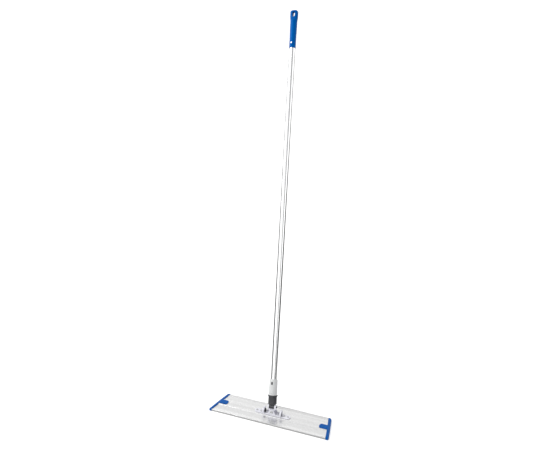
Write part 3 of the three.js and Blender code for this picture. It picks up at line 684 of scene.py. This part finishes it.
def cap_section(y):
    """The bar's section across its length: x from its centre line, and z."""
    into_end = max(0.0, abs(y) - CAP_HALF_DEPTH + CAP_END_ROUNDING) / CAP_END_ROUNDING
    shrink = math.sqrt(max(0.0, 1 - into_end**2))
    outer = END_BAR_HALF_WIDTH * (0.15 + 0.85 * shrink)
    inner = -END_BAR_HALF_WIDTH + 0.5 * (1 - shrink)
    bottom = LIP_BOTTOM + 0.5 * (1 - shrink)
    top = arch(y) - 1.5 * (1 - shrink)
    edge_top = CAP_EDGE_TOP - 0.8 * (1 - shrink)
    crest = outer - CAP_SLOPE * (top - edge_top) / (CAP_CROWN - CAP_EDGE_TOP)
    crest = max(crest, inner + 1.5)
    ease = 0.3 + 0.7 * shrink
    corners = [
        (inner, bottom, 0.3), (outer, bottom, 0.7 * ease), (outer, edge_top, 1.6 * ease),
        (crest, top, 3.0 * ease), (inner, top, 0.6),
    ]
    return rounded(corners, 5)


def cap_bar():
    count = 80
    rings = []
    for i in range(count + 1):
        y = -CAP_HALF_DEPTH * math.cos(math.pi * i / count)
        rings.append([(end_line(y) + x, y, z) for x, z in cap_section(y)])
    return loft(rings)


def tongue_outline(root):
    """The tongue from above: straight sides and a bluntly rounded tip."""
    half = TONGUE_HALF_WIDTH
    blunt = 8
    bend = []
    for degrees in range(-90, 91, 6):
        turn = math.radians(degrees)
        bend.append((TONGUE_TIP + blunt - blunt * math.cos(turn), half * math.sin(turn)))
    return [(root, half), (root, -half)] + bend


def end_cap():
    root = end_line(0) - END_BAR_HALF_WIDTH + 2
    tongue = prism("xy", tongue_outline(root), FOOT_BOTTOM, CAP_CROWN - 0.1, 0.6)
    half, low, high = HOLLOW
    plug_half = half - GAP
    plug = block((CAP_SCREW_X - 8, root), (-plug_half, plug_half), (low + GAP, high - GAP), 0.3, 0.3)
    hole = fastener_hole("z", SCREW_RADIUS, low - 1, high, x=CAP_SCREW_X)
    return cut(joined(cap_bar(), tongue, plug), hole)


def cross_recess(top, size, depth):
    """A cross, to cut a driver's recess into a screw's head from below."""
    arms = []
    for turn in (0, math.pi / 2):
        arm = block((-size, size), (-size * 0.22, size * 0.22), (top - 1, top + depth), 0.0, size * 0.15)
        arm.transform(Matrix.Rotation(turn, 4, "Z"))
        arms.append(arm)
    return arms


def cap_screw():
    head = WEB_UNDERSIDE - GAP
    face = head - 1.5
    profile = [
        (0, face, 0), (2.9, face, 1.0), (3.6, head - 0.7, 0.3), (3.6, head, 0.1),
        (SCREW_RADIUS, head, 0.1), (SCREW_RADIUS, 5.8, 0.3), (0, 6.6, 0),
    ]
    body = revolved(rounded(profile, 4), sides=40)
    return cut(body, *cross_recess(face, 1.9, 0.9))


# A hook strip: a tape with rows of small moulded hooks on it.
def hook_outline():
    """One hook in the plane of its row: a tapered stem that bends over at its tip."""
    h = HOOK_HEIGHT
    return [
        (-0.7, 0.05), (0.7, 0.05), (0.42, -0.5 * h), (0.75, -0.83 * h), (1.25, -0.8 * h), (1.5, -0.62 * h),
        (1.62, -0.66 * h), (1.45, -0.93 * h), (0.8, -h), (0.05, -0.9 * h), (-0.3, -0.55 * h),
    ]


def add_hook(points, faces, outline, x, y, z, facing):
    """Add one hook with its root at a point, bent over towards +X (1) or -X (-1)."""
    start = len(points)
    size = len(outline)
    for offset in (-0.4, 0.4):
        points += [(x + facing * u, y + offset, z + v) for u, v in outline]
    faces.append(tuple(start + k for k in range(size)))
    faces.append(tuple(start + size + k for k in reversed(range(size))))
    for k in range(size):
        m = (k + 1) % size
        faces.append((start + m, start + k, start + size + k, start + size + m))


def hook_strip(y, width, inset_by):
    low = y - width / 2
    tape_bottom = STRIP_TOP - TAPE_THICKNESS
    steps = 12
    depths = [low + width * k / steps for k in range(steps + 1)]
    right = [(end_line(d) - inset_by, d) for d in depths]
    left = [(-x, d) for x, d in reversed(right)]
    tape = prism("xy", right + left, tape_bottom, STRIP_TOP, 0.3)
    points = [tuple(v.co) for v in tape.vertices]
    faces = [tuple(p.vertices) for p in tape.polygons]
    outline = hook_outline()
    rows = int((width - 2) / HOOK_PITCH[1])
    for row in range(rows + 1):
        at_y = y + (row - rows / 2) * HOOK_PITCH[1]
        facing = 1 if row % 2 else -1
        reach = end_line(at_y) - inset_by - 2.5
        columns = int(2 * reach / HOOK_PITCH[0])
        for column in range(columns + 1):
            at_x = (column - columns / 2) * HOOK_PITCH[0]
            add_hook(points, faces, outline, at_x, at_y, tape_bottom, facing)
    return mesh_of(points, faces)


# The swivel base: a foot riveted to the ridge, two walls for the roll pin, and a post at each side.
def wall_outline():
    """A wall from the front: a curb whose sides rise straight to the eye round the roll pin."""
    from_pin = Vector((WALL_FOOT, CURB_TOP - ROLL_PIN_Z))
    lean = math.acos(WALL_EYE_RADIUS / from_pin.length)
    turn = math.degrees(math.atan2(from_pin.y, from_pin.x) + lean)
    eye = arc((0, ROLL_PIN_Z), WALL_EYE_RADIUS - 0.05, turn, 180 - turn, 24)
    outer = POST[1] - 0.3
    bottom = FOOT_BOTTOM + 0.4
    corners = [
        (-outer, bottom, 0), (outer, bottom, 0), (outer, CURB_TOP, 1.2),
        (WALL_FOOT, CURB_TOP, 2.5), (*eye[0], 0),
    ]
    right = rounded(corners, 5)
    left = [(-x, z) for x, z in reversed(right[2:-1])]
    return right + eye[1:] + left


def foot_plan():
    straight = FOOT_HALF_LENGTH - FOOT_HALF_WIDTH
    right_end = arc((straight, 0), FOOT_HALF_WIDTH, -90, 90, 20)
    left_end = arc((-straight, 0), FOOT_HALF_WIDTH, 90, 270, 20)
    return right_end + left_end


def post_outline():
    """A post from the side: as wide as both walls, then narrowing to its flat top."""
    wide = WALL[1] - 0.05
    bottom = FOOT_BOTTOM + 0.2
    corners = [
        (-wide, bottom, 0.3), (wide, bottom, 0.3), (wide, 24, 2),
        (7, POST_TOP, 2.5), (-7, POST_TOP, 2.5), (-wide, 24, 2),
    ]
    return rounded(corners, 5)


def gusset_outline():
    inner = POST[1] - 1
    bottom = FOOT_BOTTOM + 0.5
    return [
        (inner, bottom), (POST[1] + 8.5, bottom), (POST[1] + 8, FOOT_TOP + 0.4),
        (POST[1] + 0.6, GUSSET_TOP), (inner, GUSSET_TOP),
    ]


def swivel_base():
    foot = prism("xy", foot_plan(), FOOT_BOTTOM, FOOT_TOP, 0.7)
    wall = prism("xz", wall_outline(), *WALL, 0.55)
    post = prism("yz", post_outline(), *POST, 0.7)
    gusset = prism("xz", gusset_outline(), -1.1, 1.1, 0.3)
    base = joined(foot, wall, mirrored(wall, "y"), post, mirrored(post, "x"), gusset, mirrored(gusset, "x"))
    holes = [fastener_hole("z", RIVET_RADIUS, FOOT_BOTTOM - 1, FOOT_TOP + 1, x=x) for x in RIVET_XS]
    for face in (-1, 1):
        near, far = sorted((face * WALL[0], face * WALL[1]))
        holes.append(moved(flared_rod("y", ROLL_PIN_RADIUS + RUNNING_GAP, near, far, 0.4), z=ROLL_PIN_Z))
    return cut(base, *holes)


def rivet_profile(seat, head_radius, end, dome):
    """A blind rivet's profile: its domed head has the dimple of the broken stem."""
    crown = seat + dome
    corners = [
        (0, end - 1.25, 0), (3, end - 0.9, 0.5), (3, end - 0.05, 0.2), (RIVET_RADIUS, end, 0.1),
        (RIVET_RADIUS, seat, 0.1), (head_radius, seat, 0.15), (head_radius - 0.1, seat + 0.5, 0.3),
        (2.2, crown, 1.5), (1.15, crown, 0.15), (0.95, crown - 0.6, 0.1), (0, crown - 0.5, 0),
    ]
    return rounded(corners, 4)


def base_rivet():
    return revolved(rivet_profile(FOOT_TOP + GAP, 4, HOLLOW[2] - GAP, 1.45), sides=40)


def roll_stop(side):
    """A soft pad on a post's inner face, with level grooves across it."""
    bottom = FOOT_TOP + GAP
    outline = rounded([(-6, bottom, 1.0), (6, bottom, 1.0), (6, 24, 1.8), (-6, 24, 1.8)], 5)
    stop = prism("yz", outline, STOP_INNER, POST[0] - GAP, 0.8)
    grooves = [prism("xz", stadium(0.5, z - 0.5, z + 0.51, 6), -8, 8) for z in (14.5, 17.0, 19.5, 22.0)]
    stop = cut(stop, *[moved(g, x=STOP_INNER - 0.15) for g in grooves])
    return stop if side > 0 else mirrored(stop, "x")


# Pins: a headed pin with a groove near its far end, and the spring clip in the groove.
def headed_pin(axis, radius, head, start, end):
    from_end, width, depth = CLIP_GROOVE
    near = end - from_end
    far = near + width
    waist = radius - depth
    face = start - 1.9
    corners = [
        (0, face + 0.25, 0), (head * 0.55, face, 1.5), (head - 0.5, face + 0.15, 0.8),
        (head, face + 0.9, 0.3), (head, start, 0.25), (radius, start, 0.15),
        (radius, near, 0.1), (waist, near, 0.1), (waist, far, 0.1), (radius, far, 0.1),
        (radius, end - 0.5, 0.3), (radius - 0.5, end, 0.2), (0, end, 0),
    ]
    return revolved(rounded(corners, 4), axis, 56)


def pin_clip(axis, radius, outer, end):
    """An open ring in the pin's groove."""
    start = end - CLIP_GROOVE[0] + 0.15
    mouth = 40
    outside = arc((0, 0), outer, 90 + mouth, 450 - mouth, 40)
    inside = arc((0, 0), radius - 0.45, 450 - mouth, 90 + mouth, 40)
    plane = "xz" if axis == "y" else "yz"
    return prism(plane, outside + inside, start, start + 0.9, 0.2)


def thrust_washer(side):
    near, far = sorted((side * 8.3, side * 9.1))
    bore = ROLL_PIN_RADIUS + RUNNING_GAP
    corners = [(bore, near, 0.15), (6, near, 0.25), (6, far, 0.25), (bore, far, 0.15)]
    return revolved(rounded(corners, 3), "y")


# The knuckle: it turns on the roll pin, and its two lugs hold the pitch pin.
def knuckle_body():
    """A block that widens upwards, round over the pitch pin when seen from the side."""
    wide, deep = KNUCKLE_HALF_WIDTH, KNUCKLE_HALF_DEPTH
    corners = [(-6, -1, 1), (6, -1, 1), (wide, 11, 3), (wide, 30, 0.5), (-wide, 30, 0.5), (-wide, 11, 3)]
    front = rounded(corners, 5)
    side = [(-deep, -8), (deep, -8), (deep, PIN_SPACING - 3)]
    side += arc((0, PIN_SPACING), LUG_RADIUS, 5, 175, 30) + [(-deep, PIN_SPACING - 3)]
    return met(prism("xz", front, -deep, deep, 0.8), prism("yz", side, -wide, wide, 0.9))


def knuckle_slot():
    """Cutters for the room between the lugs, with a round floor below the pitch pin."""
    above = 45
    floor = arc((0, PIN_SPACING), SLOT_RADIUS, 180, 360, 36)
    sides = [(SLOT_RADIUS, above), (-SLOT_RADIUS, above)]
    between = (-SLOT_HALF_WIDTH, SLOT_HALF_WIDTH)
    eye = prism("yz", floor + sides, *between, 0.4)
    return eye, block(between, (-20, 20), (PIN_SPACING + 0.2, above), 0.3, 0.3)


def knuckle():
    wide, deep = KNUCKLE_HALF_WIDTH, KNUCKLE_HALF_DEPTH
    barrel = rod("y", BARREL_RADIUS, -deep + 0.3, deep - 0.3, 64)
    low, middle, high = 3.4, 9.6, 12.4
    corners = [(-12.5, middle), (-5.2, low), (5.2, low), (12.5, middle), (12.5, high), (-12.5, high)]
    pocket_outline = rounded([(x, z, 1) for x, z in corners], 4)
    pocket = prism("xz", pocket_outline, -deep - 2, -deep + POCKET_DEPTH, 0.3)
    ribs = [block((x - 0.7, x + 0.7), (-deep + 0.05, -deep + 2), (3, 12.8), 0.2, 0.2) for x in (-6, 0, 6)]
    body = cut(joined(knuckle_body(), barrel), *knuckle_slot(), pocket, mirrored(pocket, "y"))
    body = joined(body, *ribs, *[mirrored(r, "y") for r in ribs])
    roll_hole = flared_rod("y", ROLL_PIN_RADIUS + RUNNING_GAP, -deep, deep, 0.4)
    pitch_hole = flared_rod("x", PITCH_PIN_RADIUS + RUNNING_GAP, -wide, wide, 0.4)
    return cut(body, roll_hole, moved(pitch_hole, z=PIN_SPACING))


# The coupling: a neck between the lugs, shoulders, a fluted collar, and a hollow spigot inside the tube.
def collar_flute(turn, radius, height):
    """How much the collar's surface dips at an angle, between its shoulder and its flange."""
    inside = min(1.0, max(0.0, (height - 17.5) / 2)) * min(1.0, max(0.0, (36.0 - height) / 2))
    if radius < COLLAR_RADIUS - 0.2:
        return 0.0
    return -FLUTE_DEPTH * inside * (0.5 - 0.5 * math.cos(FLUTES * turn)) ** 3


def collar_body():
    """The collar and the spigot, turned in one."""
    spigot, bore, top = SPIGOT
    foot = [(0, COLLAR_BOTTOM, 0), (COLLAR_RADIUS, COLLAR_BOTTOM, 1.4), (COLLAR_RADIUS, 17, 0)]
    profile = rounded(foot, 5)[:-1]
    profile += [(COLLAR_RADIUS, 17.5 + 0.75 * k) for k in range(26)]
    upper = [
        (COLLAR_RADIUS, COLLAR_FLANGE - 0.8, 0), (FLANGE_RADIUS, COLLAR_FLANGE + 1.2, 0.6),
        (FLANGE_RADIUS, COLLAR_TOP, 0.9), (spigot, COLLAR_TOP, 0.3), (spigot, top, 0.6),
        (bore, top, 0.4), (bore, COLLAR_TOP + 8, 0.5), (0, COLLAR_TOP + 8, 0),
    ]
    profile += rounded(upper, 4)
    return revolved(profile, sides=FLUTES * 10, swell=collar_flute)


def coupling():
    half_stem = 4.8
    across = (-NECK_HALF_WIDTH, NECK_HALF_WIDTH)
    turn = math.degrees(math.acos(half_stem / NECK_RADIUS))
    side = arc((0, 0), NECK_RADIUS, 180 - turn, 360 + turn, 40)
    side += [(half_stem, COLLAR_BOTTOM + 1), (-half_stem, COLLAR_BOTTOM + 1)]
    neck = prism("yz", side, *across, 0.5)
    reach = COLLAR_RADIUS - 0.6
    low, high = 8.8, COLLAR_BOTTOM + 2
    corners = [(-reach, low, 2.2), (reach, low, 2.2), (reach, high, 0), (-reach, high, 0)]
    shoulders = prism("xz", rounded(corners, 6), -6, 6, 0.8)
    pin_hole = flared_rod("x", PITCH_PIN_RADIUS + RUNNING_GAP, *across, 0.3)
    return cut(joined(neck, shoulders, collar_body()), pin_hole, button_hole())


def button_hole():
    low = BUTTON_HEIGHT - BUTTON_HALF[1] - GAP
    high = BUTTON_HEIGHT + BUTTON_HALF[1] + GAP
    return prism("xz", stadium(BUTTON_HALF[0] + GAP, low, high), -30, 0)


def release_button():
    """A pill-shaped button with a dished face, on a flange that the spigot's wall holds in."""
    low = BUTTON_HEIGHT - BUTTON_HALF[1]
    high = BUTTON_HEIGHT + BUTTON_HALF[1]
    stem = prism("xz", stadium(BUTTON_HALF[0], low, high), BUTTON_FACE, BUTTON_FLANGE[1], 0.45)
    dish_radius, dish_depth = 14, 0.45
    dish = rod("x", dish_radius, -1.4, 1.4, 64)
    dish = moved(dish, y=BUTTON_FACE - dish_radius + dish_depth, z=BUTTON_HEIGHT)
    flange = block((-3, 3), BUTTON_FLANGE, (low - 1.5, high + 1.5), 0.3, 0.2)
    return joined(cut(stem, dish), flange)


def button_spring():
    """A leaf folded like a hairpin, between the button and the far wall of the spigot."""
    near, far = SPRING[0] + 0.25, SPRING[1] - 0.25
    top, knee, bottom = BUTTON_HEIGHT + 2, BUTTON_HEIGHT - 3, BUTTON_HEIGHT - 8
    bend = 1.6
    path = [(near, top), (near, knee)]
    path += arc(((near + far) / 2, bottom + bend), bend, 200, 340, 14)
    path += [(far, knee), (far, top)]
    return prism("yz", ribbon(path, 0.22), -2, 2, 0.1)


def ribbon(path, half):
    """The outline of a band along a path."""
    sides = ([], [])
    for i, point in enumerate(path):
        before = Vector(path[max(0, i - 1)])
        after = Vector(path[min(len(path) - 1, i + 1)])
        along = (after - before).normalized()
        normal = Vector((-along.y, along.x)) * half
        sides[0].append(tuple(Vector(point) + normal))
        sides[1].append(tuple(Vector(point) - normal))
    return sides[0] + sides[1][::-1]


def ferrule_ring():
    bore = SPIGOT[0] + GAP
    low, high = COLLAR_TOP + GAP, RING_TOP
    corners = [(bore, low, 0.2), (RING_RADIUS, low, 0.8), (RING_RADIUS, high, 0.8), (bore, high, 0.2)]
    return revolved(rounded(corners, 5), sides=96)


def ferrule():
    bore = TUBE_RADIUS + GAP
    low, top = RING_TOP + GAP, FERRULE_TOP
    corners = [
        (bore, low, 0.2), (FERRULE_RADIUS, low, 0.7), (FERRULE_RADIUS, 62, 8),
        (15.2, top - 6, 4), (13.8, top - 1.5, 1.5), (12.6, top, 0.5), (bore, top, 0.2),
    ]
    sleeve = revolved(rounded(corners, 6), sides=96)
    half_width, half_length, floor = RECESS
    outline = stadium(half_width, BUTTON_HEIGHT - half_length, BUTTON_HEIGHT + half_length)
    recess = prism("xz", outline, -30, floor, 0.5)
    return cut(sleeve, button_hole(), recess, ferrule_rivet_hole())


def ferrule_rivet_hole():
    return fastener_hole("y", RIVET_RADIUS, 0, 30, z=FERRULE_RIVET_HEIGHT)


def grip_rivet_hole():
    return fastener_hole("y", RIVET_RADIUS, -30, 0, z=GRIP_RIVET_HEIGHT)


def side_rivet(inner, seat, head, dome):
    """A rivet that goes in from the side, its head outwards along y."""
    corners = [
        (0, inner, 0), (RIVET_RADIUS, inner, 0.2), (RIVET_RADIUS, seat, 0.1), (head, seat, 0.2),
        (head - 0.3, seat + dome * 0.6, 0.5), (0, seat + dome, 0),
    ]
    return revolved(rounded(corners, 5), "y", 40)


def handle_tube():
    inner, outer = TUBE_RADIUS - TUBE_WALL, TUBE_RADIUS
    low, high = RING_TOP + GAP, TUBE_TOP
    corners = [(inner, low, 0.25), (outer, low, 0.25), (outer, high, 0.25), (inner, high, 0.25)]
    tube = revolved(rounded(corners, 3), sides=96)
    return cut(tube, button_hole(), ferrule_rivet_hole(), grip_rivet_hole())


# The grip: a sleeve over the top of the tube, which spreads and flattens into a hanging eye.
def eased(value, low, high):
    """0 below low and 1 above high, with a smooth change between."""
    t = min(1.0, max(0.0, (value - low) / (high - low)))
    return t * t * (3 - 2 * t)


def grip_section(height):
    """Half width, half depth and squareness of the grip at a height."""
    sleeve = GRIP_SWELL[0] + GRIP_SWELL[1] * eased(height, GRIP_BOTTOM + 20, GRIP_NECK - 10)
    flat = eased(height, GRIP_NECK - 12, EYE[1] + 4)
    wide = sleeve + (GRIP_HEAD[0] - sleeve) * flat
    deep = sleeve + (GRIP_HEAD[1] - sleeve) * flat
    crown = max(0.0, (height - (GRIP_TOP - 9)) / 9)
    round_off = math.sqrt(max(0.0, 1 - crown**2.4))
    return wide * (0.42 + 0.58 * round_off), deep * (0.55 + 0.45 * round_off), 2 + 1.4 * flat


def grip_ring(wide, deep, square, height):
    """A ring that runs from an ellipse, at a squareness of 2, towards a box."""
    ring = []
    for k in range(GRIP_SIDES):
        turn = 2 * math.pi * k / GRIP_SIDES
        c, s = math.cos(turn), math.sin(turn)
        stretch = (abs(c) ** square + abs(s) ** square) ** (-1 / square)
        ring.append((wide * stretch * c, deep * stretch * s, height))
    return ring


def grip():
    heights = [GRIP_BOTTOM + 0.6 + (GRIP_NECK - 14 - GRIP_BOTTOM) * k / 16 for k in range(17)]
    heights += [GRIP_NECK - 12 + 1.5 * k for k in range(1, 26)]
    heights += [GRIP_TOP - 6 + 6 * math.sin(math.pi / 2 * k / 10) for k in range(11)]
    heights = sorted({round(h, 4) for h in heights if h <= GRIP_TOP})
    mouth = ((TUBE_RADIUS + GAP + 0.1, 0), (GRIP_SWELL[0] - 0.4, 0), (GRIP_SWELL[0] - 0.1, 0.25))
    rings = [grip_ring(radius, radius, 2, GRIP_BOTTOM + above) for radius, above in mouth]
    rings += [grip_ring(*grip_section(height), height) for height in heights]
    bore = rod("z", TUBE_RADIUS + GAP, GRIP_BOTTOM - 1, TUBE_TOP + GAP, GRIP_SIDES)
    return eased_slot(cut(loft(rings), bore, grip_rivet_hole()))


def eased_slot(body):
    """The grip with its hanging slot cut through and the slot's rims rounded."""
    half, low, high = EYE
    slotted = cut(body, prism("xz", stadium(half, low, high, 16), -20, 20))
    work = bmesh.new()
    work.from_mesh(slotted)
    rims = []
    for edge in work.edges:
        if len(edge.link_faces) != 2 or edge.calc_face_angle(0) < math.radians(35):
            continue
        middle = (edge.verts[0].co + edge.verts[1].co) / 2
        if low - 1 < middle.z < high + 1 and abs(middle.x) < half + 1 and abs(middle.y) > 3:
            rims.append(edge)
    bmesh.ops.bevel(work, geom=rims, offset=1.0, segments=4, profile=0.5, affect="EDGES")
    work.to_mesh(slotted)
    work.free()
    return cleaned(slotted, 0.002)


def build_head():
    piece("frame_plate", frame_plate(), HEAD_FRAME, "anodised_aluminium")
    cap = end_cap()
    left_cap = mirrored(cap, "x")
    piece("end_cap_right", cap, HEAD_FRAME, "blue_plastic")
    piece("end_cap_left", left_cap, HEAD_FRAME, "blue_plastic")
    for side, x in (("right", CAP_SCREW_X), ("left", -CAP_SCREW_X)):
        piece("cap_screw_" + side, moved(cap_screw(), x=x), HEAD_FRAME, "steel")
    for name, strip in HOOK_STRIPS.items():
        piece("hook_strip_" + name, hook_strip(*strip), HEAD_FRAME, "hook_tape")
    piece("swivel_base", swivel_base(), HEAD_FRAME, "pale_plastic")
    piece("roll_stop_right", roll_stop(1), HEAD_FRAME, "stop_rubber")
    piece("roll_stop_left", roll_stop(-1), HEAD_FRAME, "stop_rubber")
    for i, x in enumerate(RIVET_XS):
        piece(f"base_rivet_{i + 1}", moved(base_rivet(), x=x), HEAD_FRAME, "steel")
    end = WALL[1] + GAP + PIN_END
    pin = headed_pin("y", ROLL_PIN_RADIUS, ROLL_PIN_HEAD, -WALL[1] - GAP, end)
    piece("roll_pin", pin, ROLL_PIN_FRAME, "steel")
    piece("roll_pin_clip", pin_clip("y", ROLL_PIN_RADIUS, ROLL_PIN_HEAD, end), ROLL_PIN_FRAME, "steel")
    piece("thrust_washer_front", thrust_washer(-1), ROLL_PIN_FRAME, "white_plastic")
    piece("thrust_washer_back", thrust_washer(1), ROLL_PIN_FRAME, "white_plastic")


def build_knuckle():
    piece("knuckle", knuckle(), KNUCKLE_FRAME, "pale_plastic")
    end = KNUCKLE_HALF_WIDTH + PIN_END
    pin = headed_pin("x", PITCH_PIN_RADIUS, PITCH_PIN_HEAD, -KNUCKLE_HALF_WIDTH - GAP, end)
    piece("pitch_pin", moved(pin, z=PIN_SPACING), KNUCKLE_FRAME, "dark_pin")
    clip = pin_clip("x", PITCH_PIN_RADIUS, PITCH_PIN_HEAD, end)
    piece("pitch_pin_clip", moved(clip, z=PIN_SPACING), KNUCKLE_FRAME, "dark_pin")


def build_handle():
    piece("coupling", coupling(), HANDLE_FRAME, "grey_plastic")
    piece("release_button", release_button(), HANDLE_FRAME, "grey_plastic")
    spring = piece("button_spring", button_spring(), HANDLE_FRAME, "steel")
    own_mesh(spring)
    piece("ferrule_ring", ferrule_ring(), HANDLE_FRAME, "white_plastic")
    piece("ferrule", ferrule(), HANDLE_FRAME, "ferrule_plastic")
    back_rivet = side_rivet(*FERRULE_RIVET)
    piece("ferrule_rivet", moved(back_rivet, z=FERRULE_RIVET_HEIGHT), HANDLE_FRAME, "steel")
    piece("handle_tube", handle_tube(), HANDLE_FRAME, "tube_aluminium")
    piece("grip", grip(), HANDLE_FRAME, "blue_plastic")
    front_rivet = mirrored(side_rivet(*GRIP_RIVET), "y")
    piece("grip_rivet", moved(front_rivet, z=GRIP_RIVET_HEIGHT), HANDLE_FRAME, "steel")


# ---- Studio ----
CAMERA_AZIMUTH = math.radians(22.21)
CAMERA_ELEVATION = math.radians(20.52)
CAMERA_DISTANCE = 2.561
CAMERA_ASIDE = -0.1074  # the view's centre, from the middle of the object, to the right and up
CAMERA_ABOVE = -0.035
CAMERA_LENS = 45.87
FLOOR_RADII = (0.5, 2, 8, 60)
FLOOR_WHITE = 0.93
FLOOR_GLOW = 0.3  # only what the camera sees directly
FLOOR_MIRRORED = (0.4, 0.04)  # near the object and far from it
FLOOR_FADE = (0.35, 1.3)  # the distances between which it changes
STRIP_AZIMUTH = math.radians(48)
STRIP_HALF_WIDTH = math.radians(11)
STRIP_SOFTNESS = 0.012
STRIP_GLOW = 0.1
HORIZON = (0.03, 0.09)  # where the dark band along the horizon starts to fade and where it ends
HORIZON_GLOW = 0.15
SKY_HEIGHTS = (0.15, 0.75)
SKY_MIRRORED = (1.62, 0.66)  # at those heights
DOME_GLOW = (1.1, 0.66)  # from the left to the right
KEY_LIGHT = {"location": (-2.4, -1.4, 2.6), "target": (0, 0.2, 0.5), "size": (1.6, 2.2), "power": 60}


def add_camera():
    a, e = CAMERA_AZIMUTH, CAMERA_ELEVATION
    back = Vector((math.sin(a) * math.cos(e), -math.cos(a) * math.cos(e), math.sin(e)))
    right = Vector((math.cos(a), math.sin(a), 0))
    up = back.cross(right)
    camera = bpy.data.objects.new("camera", bpy.data.cameras.new("camera"))
    camera.data.lens = CAMERA_LENS
    camera.data.sensor_width = 36
    camera.data.clip_start = 0.01
    camera.data.clip_end = 200
    middle = (cad_low + cad_high) / 2
    camera.location = middle + right * CAMERA_ASIDE + up * CAMERA_ABOVE + back * CAMERA_DISTANCE
    camera.rotation_euler = back.to_track_quat("Z", "Y").to_euler()
    bpy.context.scene.collection.objects.link(camera)
    bpy.context.scene.camera = camera


def floor_mesh():
    """A flat disc of rings, far larger than the view."""
    points = [(0, 0, 0)]
    faces = []
    sides = 64
    for radius in FLOOR_RADII:
        points += [(radius * x, radius * y, 0) for x, y in arc((0, 0), 1, 0, 360, sides)[:-1]]
    for k in range(sides):
        m = (k + 1) % sides
        faces.append((0, 1 + k, 1 + m))
        for ring in range(len(FLOOR_RADII) - 1):
            low = 1 + ring * sides
            faces.append((low + k, low + sides + k, low + sides + m, low + m))
    made = bpy.data.meshes.new("floor")
    made.from_pydata(points, [], faces)
    return made


def floor_finish():
    """White with a little glow for the camera, but darker in shiny pieces, and darkest far away."""
    finish = Shader("pale_floor", (FLOOR_WHITE,) * 3, 0.9)
    away = finish.add("ShaderNodeVectorMath", {"Vector": finish.add("ShaderNodeTexCoord").outputs["Object"]})
    away.operation = "LENGTH"
    when_mirrored = finish.spread(away.outputs["Value"], *FLOOR_MIRRORED, *FLOOR_FADE)
    glossy_ray = finish.add("ShaderNodeLightPath").outputs["Is Glossy Ray"]
    white = finish.add("ShaderNodeMix", {"Factor": glossy_ray, "B": when_mirrored}, A=FLOOR_WHITE)
    finish.drive("Base Color", white.outputs[0])
    seen = finish.add("ShaderNodeLightPath").outputs["Is Camera Ray"]
    finish.drive("Emission Strength", finish.spread(seen, 0.0, FLOOR_GLOW))
    finish.surface.inputs["Emission Color"].default_value = (1, 1, 1, 1)
    return finish.material


def add_floor():
    made = floor_mesh()
    made.materials.append(floor_finish())
    floor = bpy.data.objects.new("floor", made)
    bpy.context.scene.collection.objects.link(floor)


def add_world():
    """Soft light from all round, brighter on the left, in front of a white background.

    Shiny pieces mirror another sky: brighter low down, with a dark band along the horizon and one dark strip.
    """
    world = bpy.data.worlds.new("studio")
    bpy.context.scene.world = world
    world.use_nodes = True
    nodes = Nodes(world.node_tree)
    glow = nodes.tree.nodes["Background"]
    glow.inputs["Color"].default_value = (1, 1, 1, 1)
    where = nodes.add("ShaderNodeTexCoord").outputs["Generated"]
    parts = nodes.add("ShaderNodeSeparateXYZ", {"Vector": where}).outputs
    sky = nodes.spread(parts["Z"], *SKY_MIRRORED, *SKY_HEIGHTS)
    horizon = nodes.spread(parts["Z"], HORIZON_GLOW, 1.0, *HORIZON)
    sideways = nodes.spread(parts["X"], *DOME_GLOW, -1, 1)
    mirrored_sky = nodes.product(nodes.product(dark_strip(nodes, parts), sky), horizon)
    ray = nodes.add("ShaderNodeLightPath").outputs
    links = {"Factor": ray["Is Glossy Ray"], "A": sideways, "B": mirrored_sky}
    shiny = nodes.add("ShaderNodeMix", links).outputs[0]
    links = {"Factor": ray["Is Camera Ray"], "A": shiny}
    shown = nodes.add("ShaderNodeMix", links, B=1.0).outputs[0]
    nodes.tree.links.new(shown, glow.inputs["Strength"])


def dark_strip(nodes, parts):
    """The factor that darkens the sky inside an upright strip, from the parts of a direction."""
    level = nodes.add("ShaderNodeCombineXYZ", {"X": parts["X"], "Y": parts["Y"]})
    heading = nodes.add("ShaderNodeVectorMath", {"Vector": level.outputs["Vector"]})
    heading.operation = "NORMALIZE"
    towards = nodes.add("ShaderNodeVectorMath", {"Vector": heading.outputs["Vector"]})
    towards.operation = "DOT_PRODUCT"
    towards.inputs[1].default_value = (math.sin(STRIP_AZIMUTH), -math.cos(STRIP_AZIMUTH), 0)
    edge = math.cos(STRIP_HALF_WIDTH)
    closeness = towards.outputs["Value"]
    return nodes.spread(closeness, 1.0, STRIP_GLOW, edge - STRIP_SOFTNESS, edge + STRIP_SOFTNESS)


def add_light(name, location, target, size, power):
    lamp = bpy.data.lights.new(name, "AREA")
    lamp.shape = "RECTANGLE"
    lamp.size, lamp.size_y = size
    lamp.energy = power
    made = bpy.data.objects.new(name, lamp)
    made.location = location
    made.rotation_euler = (Vector(location) - Vector(target)).to_track_quat("Z", "Y").to_euler()
    made.visible_camera = False
    bpy.context.scene.collection.objects.link(made)


def add_studio():
    add_camera()
    add_floor()
    add_world()
    add_light("key", **KEY_LIGHT)
    view = bpy.context.scene.view_settings
    view.view_transform = "Standard"
    view.look = "None"


add_studio()
build_head()
build_knuckle()
build_handle()
